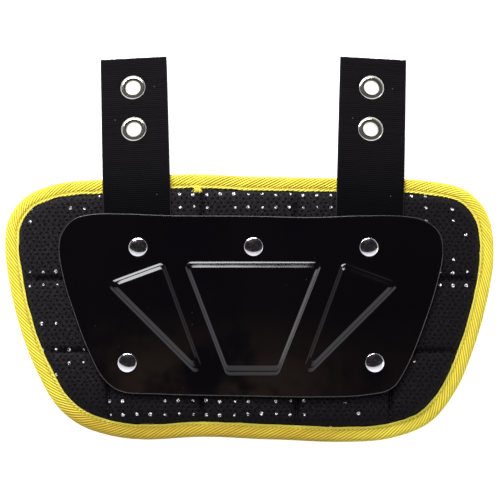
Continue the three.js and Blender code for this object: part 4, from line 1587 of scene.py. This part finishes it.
def spun(profile, count=64):
    """Points and faces of a closed profile (radius, height) spun round the upright axis."""
    angles = np.linspace(0, 2 * np.pi, count, endpoint=False)
    ring = np.column_stack([np.cos(angles), np.sin(angles)])
    rows = []
    for radius, height in profile:
        if radius < 1e-6:
            rows.append(np.array([(0, 0, height)]))
        else:
            rows.append(np.column_stack([radius * ring, np.full(count, height)]))
    starts = np.concatenate([[0], np.cumsum([len(row) for row in rows])])
    on_axis = any(len(row) == 1 for row in rows)
    faces = []
    for k in range(len(rows) - on_axis):
        n = (k + 1) % len(rows)
        for i in range(count):
            j = (i + 1) % count
            corners = [
                starts[row] + step % len(rows[row]) for row, step in ((k, i), (k, j), (n, j), (n, i))
            ]
            faces.append(tuple(dict.fromkeys(corners)))
    return np.vstack(rows), faces


def rivet_profile():
    base = PLATE_FRONT + GAP
    peen_top = -WASHER_THICKNESS - 2 * GAP
    head, peen, shank = RIVET_HEAD / 2, RIVET_PEEN / 2, RIVET_SHANK / 2
    profile = [(0, peen_top - RIVET_PEEN_HEIGHT)]
    profile += [(peen * share, peen_top - RIVET_PEEN_HEIGHT * drop) for share, drop in PEEN]
    profile += [(shank, peen_top), (shank, base), (head * 0.97, base), (head, base + 0.12)]
    top = base + RIVET_HEAD_HEIGHT - 0.25
    slope = math.asin((head - 0.45) / DOME_BALL)
    brim = top - DOME_BALL * (1 - math.cos(slope))
    profile += [(head, base + 0.6)]
    profile += [(head - inward, brim - drop) for inward, drop in BRIM]
    for turn in np.linspace(slope, 0, DOME_STEPS)[:-1]:
        profile.append((DOME_BALL * math.sin(turn), top - DOME_BALL * (1 - math.cos(turn))))
    return profile + [(0, top)]


def washer_profile():
    hole, rim = RIVET_SHANK / 2 + GAP, WASHER_WIDTH / 2
    low, high = -GAP - WASHER_THICKNESS, -GAP
    return [
        (hole, low), (rim - WASHER_EDGE, low), (rim, low + WASHER_EDGE),
        (rim, high - WASHER_EDGE), (rim - WASHER_EDGE, high), (hole, high),
    ]


def turned_in_place(name, profile, place):
    points, faces = spun(profile)
    return new_piece(name, settle(points + (*place, 0)), faces)


for rivet_name, rivet_row in RIVETS.items():
    place = rivet_place(*rivet_row)
    rivet = turned_in_place(f"dome_{rivet_name}", rivet_profile(), place)
    dress(rivet, nickel, "nickel", f"rivet_{rivet_name}")
    washer = turned_in_place(f"ring_{rivet_name}", washer_profile(), place)
    dress(washer, washer_steel, "washer_steel", f"washer_{rivet_name}")

# %% [markdown]
# A grommet is two pressed rings. Its front is a rolled rim that runs down into a narrowing throat,
# which is what catches the light. A torus would miss the throat, so it is one more spun profile. Each
# one is seated on the turned plane of its hanger, so it stays square to the webbing on the sloping
# end.

# %% Grommets
GROMMET_PROFILE = [
    (5.55, -3.08), (5.8, -3.14), (8.7, -3.12), (8.95, -2.9), (8.95, -2.45), (8.7, -2.3),
    (6.7, -2.3), (6.7, 0.3), (9.3, 0.3), (9.47, 0.34), (9.5, 0.42), (9.44, 0.55), (9.22, 0.72),
    (8.85, 0.93), (8.4, 1.12), (7.95, 1.26), (7.5, 1.35), (7.05, 1.39), (6.65, 1.4), (6.35, 1.37),
    (6.1, 1.25), (5.92, 1.0), (5.8, 0.55), (5.7, -0.3), (5.62, -1.4), (5.56, -2.7),
]
THROAT_RADIUS = 6.9
THROAT_START = -1.2


def tab_frame(side, along):
    """The turned frame on a hanger's front face: x across, y along, z out of the face."""
    def face_point(across, reach):
        given = (np.array([value]) for value in (across, reach, STRAP_THICKNESS))
        return Vector(strap_points(side, *given)[0])

    here = face_point(GROMMET_SHIFT_ACROSS, along)
    lengthways = (face_point(GROMMET_SHIFT_ACROSS, along + 1) - here).normalized()
    beside = face_point(GROMMET_SHIFT_ACROSS + 1, along) - here
    outward = beside.cross(lengthways).normalized()
    crossways = lengthways.cross(outward)
    turned = Matrix((crossways, lengthways, outward)).transposed().to_4x4()
    return Matrix.Translation(here) @ turned


for strap_name, strap_side in STRAP_SIDES.items():
    for place_name, along in GROMMET_ALONG.items():
        points, faces = spun(GROMMET_PROFILE)
        holder = tab_frame(strap_side, along)
        seated = [holder @ Vector(p * MM) for p in points]
        grommet = new_piece(f"eyelet_{strap_name}_{place_name}", seated, faces)
        from_axis = np.hypot(points[:, 0], points[:, 1])
        depth = np.clip((THROAT_RADIUS - from_axis) / 0.5, 0, 1)
        depth *= np.clip((points[:, 2] - THROAT_START) / 0.8, 0, 1)
        add_value(grommet, "throat", 0.95 * depth)
        dress(grommet, warm_nickel, "nickel", f"grommet_{strap_name}_{place_name}")

# %% [markdown]
# Sewing thread is twisted from two or three yarns, so it has slanting lines of its own. Modelled yarns
# would be far too fine to see, so the ribs of the webbing, turned and made much finer, draw them.


# %% Finish: sewing thread
def make_thread(name, colour):
    material, tree, shader = new_finish(name, Roughness=0.5, Specular_IOR_Level=0.4)
    twist = rib_lines(tree, millimetres(tree), (0.7, 0.7), 0.35, 0.4)
    # The darker colour is painted shade between the twists
    dark = tuple(0.6 * c for c in colour)
    feed(tree, shader["Base Color"], blend(tree, twist["Shade"], dark, colour))
    feed(tree, shader["Normal"], bump(tree, twist["Height"], 0.0001, 0.6))
    return material


yellow_thread = make_thread("yellow_thread", (1.0, 0.86, 0.1))
black_thread = make_thread("black_thread", (0.02, 0.018, 0.02))

# %% [markdown]
# The binding and the quilting are held by real stitches: short raised threads, each dipping into the
# cloth at both ends. A dashed line in the colour would look printed, so one small thread shape is
# repeated along every seam and joined into one mesh for each colour of thread. Stitches that the plate
# or a hanger covers are left out in front.

# %% Stitches
# One thread from end to end: share of its length, and share of its arc
THREAD_COURSE = [(0.0, -0.5), (0.18, 0.75), (0.5, 1.0), (0.82, 0.75), (1.0, -0.5)]
THREAD_SIDES = 6
BINDING_THREAD = (0.27, 0.16)
BINDING_THREAD_HEIGHT = 2.78
QUILT_THREAD = (0.24, 0.12)
QUILT_STITCH = 3.4
QUILT_REACH = (178.0, 96.0)


def thread_piece(name, stitches, radius, arc):
    """One mesh of raised threads. A stitch is its start, its end, and 1 for the front or -1."""
    angles = 2 * np.pi * np.arange(THREAD_SIDES) / THREAD_SIDES
    points, faces = [], []
    for start, end, upwards in stitches:
        along = unit(end - start)
        beside = np.array([-along[1], along[0], 0])
        up = np.array([0, 0, upwards])
        base = len(points)
        for share, rise in THREAD_COURSE:
            middle = start + (end - start) * share + up * rise * arc
            for angle in angles:
                points.append(middle + radius * (beside * math.cos(angle) + up * math.sin(angle)))
        last = base + (len(THREAD_COURSE) - 1) * THREAD_SIDES
        for row in range(base, last, THREAD_SIDES):
            for k in range(THREAD_SIDES):
                a, b = row + k, row + (k + 1) % THREAD_SIDES
                faces.append((a, b, b + THREAD_SIDES, a + THREAD_SIDES))
        faces += [tuple(range(base + THREAD_SIDES - 1, base - 1, -1))]
        faces += [tuple(range(last, last + THREAD_SIDES))]
    piece = new_piece(name, settle(points), faces)
    turning = bmesh.new()
    turning.from_mesh(piece.data)
    bmesh.ops.recalc_face_normals(turning, faces=turning.faces)
    turning.to_mesh(piece.data)
    turning.free()
    return piece


def raised_to(points, heights):
    return np.column_stack([points, np.broadcast_to(heights, len(points))])


def height_near(points, heights, among):
    """The cloth's height at the closest of the chosen plan points."""
    known, values = pad_points[among], heights[among]
    far = np.linalg.norm(points[:, None, :] - known[None, :, :], axis=2)
    return values[far.argmin(axis=1)]


def binding_stitches():
    """A stitch takes seven tenths of its pitch, on both laps of the tape."""
    line = even_loop(inset(tape_loop, SEWN_INWARD), round(tape_length / STITCH_PITCH) * 10)
    stitches = []
    for face in (1, -1):
        height = TAPE_MIDDLE + face * BINDING_THREAD_HEIGHT
        starts, ends = raised_to(line[1::10], height), raised_to(line[8::10], height)
        stitches += [(start, end, face) for start, end in zip(starts, ends)]
    return stitches


def quilting_stitches():
    """The seams' thread on both faces, at the height of the cloth."""
    right, top = QUILT_REACH
    lines = [(np.array([x, -top]), np.array([x, top])) for x in SEAM_COLUMNS]
    lines += [(np.array([-right, y]), np.array([right, y])) for y in SEAM_ROWS]
    starts, ends = [], []
    for low, high in lines:
        along = unit(high - low) * QUILT_STITCH
        for k in range(int(np.linalg.norm(high - low) / QUILT_STITCH)):
            starts.append(low + along * (k + 0.12))
            ends.append(low + along * (k + 0.88))
    starts, ends = np.array(starts), np.array(ends)
    sewn, covered = np.full(len(starts), True), np.full(len(starts), False)
    for tips in (starts, ends):
        sewn &= edge_distance(tips) > LAP_EDGE + 2
        covered |= inside_loop(tips, plate_loop)
        for side in (-1, 1):
            across, along = strap_place(side, tips[:, 0], tips[:, 1])
            covered |= (np.abs(across) < STRAP_WIDTH / 2 + 1) & (along > -STRAP_TAIL - 1)
    in_seam = pad_seam < 1.5
    stitches = []
    for face, heights, shown in ((1, pressed_front, sewn & ~covered), (-1, floor_clear, sewn)):
        a, b = (
            raised_to(tips[shown], height_near(tips[shown], heights, in_seam))
            for tips in (starts, ends)
        )
        stitches += [(start, end, face) for start, end in zip(a, b)]
    return stitches


sewn_edge = thread_piece("binding_stitches", binding_stitches(), *BINDING_THREAD)
dress(sewn_edge, yellow_thread, "binding_tape")
sewn_fields = thread_piece("quilting_stitches", quilting_stitches(), *QUILT_THREAD)
dress(sewn_fields, black_thread, "mesh_cloth")

# %% [markdown]
# Where the binding's thread was cut, a small tuft of frayed fibres hangs over the lip onto the cloth.
# Hair could make it, but a seeded draw of a few more threads of the same shape needs no new tool and
# exports as plain faces.

# %% The loose thread end at the top edge
TUFT_PLACE = np.array([-38.9, 88.6])
TUFT_SPREAD = (2.4, 0.9)
TUFT_TURNS = (-2.3, -0.7)
TUFT_REACH = (1.4, 4.2)
TUFT_FIBRES = 70
TUFT_THREAD = (0.2, 0.4)
LIP_HEIGHT = 8.2


def tuft_fibres():
    chance = np.random.default_rng(5)
    starts = TUFT_PLACE + chance.uniform(-1, 1, (TUFT_FIBRES, 2)) * TUFT_SPREAD
    turns = chance.uniform(*TUFT_TURNS, TUFT_FIBRES)
    reach = chance.uniform(*TUFT_REACH, TUFT_FIBRES)
    ends = starts + np.column_stack([np.cos(turns), np.sin(turns)]) * reach[:, None]

    def over_lip(tips, least, most):
        cloth = height_near(tips, pressed_front, np.full(len(pad_points), True))
        return raised_to(tips, np.maximum(LIP_HEIGHT, cloth) + chance.uniform(least, most, TUFT_FIBRES))

    starts, ends = over_lip(starts, 0, 0.5), over_lip(ends, 0.2, 1)
    return [(start, end, 1) for start, end in zip(starts, ends)]


tuft = thread_piece("loose_thread", tuft_fibres(), *TUFT_THREAD)
dress(tuft, yellow_thread, "binding_tape")

# %% [markdown]
# The photograph looks almost straight down on the part, from a little to its near side. The lens could
# be found by trial. Here it is worked out from the camera's distance and the size of a photo pixel on
# the part, so moving the camera keeps the framing.

# %% Camera
PIXEL_MM = 0.75
PHOTO_SIZE = 500
SENSOR = 36
CAMERA_DISTANCE = 1.24
CAMERA_TILT = math.radians(6.5)
AIM = Vector((0.5, -2.95, 8.8)) * MM
camera_data = bpy.data.cameras.new("camera")
camera_data.sensor_width = SENSOR
camera_data.lens = SENSOR * CAMERA_DISTANCE / (PHOTO_SIZE * PIXEL_MM * MM)
camera_data.clip_start = 0.05
camera = bpy.data.objects.new("camera", camera_data)
bpy.context.scene.collection.objects.link(camera)
camera.location = AIM + CAMERA_DISTANCE * Vector((0, -math.sin(CAMERA_TILT), math.cos(CAMERA_TILT)))
camera.rotation_euler = (CAMERA_TILT, 0, 0)
bpy.context.scene.camera = camera
print("lens:", round(camera_data.lens, 1), "mm")

# %% [markdown]
# The ground is pure white with hardly a shadow, as on a lit table. A floor lit only from above would
# turn grey beside the part, so this one also glows.

# %% Floor
FLOOR_HALF = 4.0
FLOOR_DROP = 0.0004
FLOOR_GLOW = 0.85


def make_floor():
    material, tree, shader = new_finish(
        "floor_white", Roughness=0.9, Specular_IOR_Level=0.1, Emission_Color=(1, 1, 1, 1),
        Emission_Strength=FLOOR_GLOW,
    )
    tone = noise_at(tree, millimetres(tree), 0.01, 2.0)
    feed(tree, shader["Base Color"], blend(tree, tone, (0.93, 0.93, 0.935), (0.95, 0.95, 0.95)))
    corners = [(x * FLOOR_HALF, y * FLOOR_HALF, 0) for x, y in ((-1, -1), (1, -1), (1, 1), (-1, 1))]
    piece = new_piece("floor", corners, [(0, 1, 2, 3)])
    piece.data.materials.append(material)
    piece.location.z = -FLOOR_DROP
    return piece


floor = make_floor()
print("floor laid")

# %% [markdown]
# The light comes from broad, soft sources. A long strip beyond the part puts the bright lines on the
# walls and the metal. A large lamp high behind it lights the cloth and the tape. The glossy plate,
# seen from above, would show whatever hangs there, so gloss doesn't mirror that lamp.


# %% Lights
def soft_light(name, place, size, power, colour=(1, 1, 1)):
    """A broad light that faces the part. Metres and watts. The camera doesn't see it."""
    data = bpy.data.lights.new(name, "AREA")
    data.shape = "RECTANGLE"
    data.size, data.size_y = size
    data.energy = power
    data.color = colour
    light = bpy.data.objects.new(name, data)
    bpy.context.scene.collection.objects.link(light)
    light.location = place
    light.rotation_euler = (-Vector(place)).to_track_quat("-Z", "Y").to_euler()
    light.visible_camera = False
    return light


soft_light(
    "far_strip", place=(-0.3, 1.23, 0.79), size=(1.35, 0.34), power=21, colour=(0.97, 0.97, 1.0),
)
soft_light("right_panel", place=(1.3, -0.25, 0.55), size=(0.5, 0.5), power=1.5)
overhead = soft_light("overhead", place=(-0.4, 1.5, 1.9), size=(1.6, 1.6), power=67)
overhead.visible_glossy = False

# %% [markdown]
# The sky is what the gloss mirrors. A picture of a studio could be wrapped round the scene, but a few
# ramps say plainly what is where: white round the horizon and the near side, and dark overhead and
# beyond the part, with a faint warm haze in the dark and grey low down. The sky lights the cloth more
# weakly than it shows in reflections, and the camera sees plain white past the floor's edge.

# %% Sky
DARK_TILT = math.radians(45)
DARK_REACH = math.radians(70)
DARK_NARROWING = (1.15, 1, 1)
SKY_WHITE = (0.97, 0.96, 1.03)
SKY_DARK = (0.012, 0.011, 0.015)
SKY_HAZE = (0.06, 0.042, 0.034)
SKY_LOW = (0.34, 0.335, 0.36)
HAZE_NOISE = (3.2, 3.0, 0.6)
LOW_BAND = (0.47, 0.56, 1.0, 0.0)
SKY_ON_CLOTH = 0.4
SKY_IN_GLOSS = 1.25


def make_sky():
    world = bpy.data.worlds.new("studio")
    bpy.context.scene.world = world
    world.use_nodes = True
    tree = world.node_tree
    towards = add_node(tree, "ShaderNodeTexCoord").outputs["Generated"]
    narrowed = vector_calc(tree, "MULTIPLY", towards, DARK_NARROWING)
    dark_middle = (0, math.sin(DARK_TILT), math.cos(DARK_TILT))
    beside = vector_calc(tree, "DOT_PRODUCT", vector_calc(tree, "NORMALIZE", narrowed), dark_middle)
    rim, inner, outer = (math.cos(DARK_REACH + turn) for turn in (0, -0.05, 0.35))
    lit = plus(tree, ramp(tree, beside, rim, inner, 0.6, 0.0), ramp(tree, beside, outer, rim, 0.4, 0.0))
    low = ramp(tree, parts_of(tree, towards)[2], *LOW_BAND)
    haze = ramp(tree, noise_at(tree, towards, *HAZE_NOISE), 0.45, 0.75)
    dark = blend(tree, low, blend(tree, haze, SKY_DARK, SKY_HAZE), SKY_LOW)
    studio = blend(tree, lit, dark, SKY_WHITE)
    ray = add_node(tree, "ShaderNodeLightPath").outputs
    mirrored = calc(tree, "MAXIMUM", ray["Is Camera Ray"], ray["Is Glossy Ray"])
    ground = tree.nodes["Background"].inputs
    feed(tree, ground["Color"], blend(tree, ray["Is Camera Ray"], studio, (1.0, 1.0, 1.0)))
    feed(tree, ground["Strength"], ramp(tree, mirrored, 0.0, 1.0, SKY_ON_CLOTH, SKY_IN_GLOSS))
    return world


sky = make_sky()
bpy.context.scene.view_settings.view_transform = "Standard"
print("sky:", sky.name)
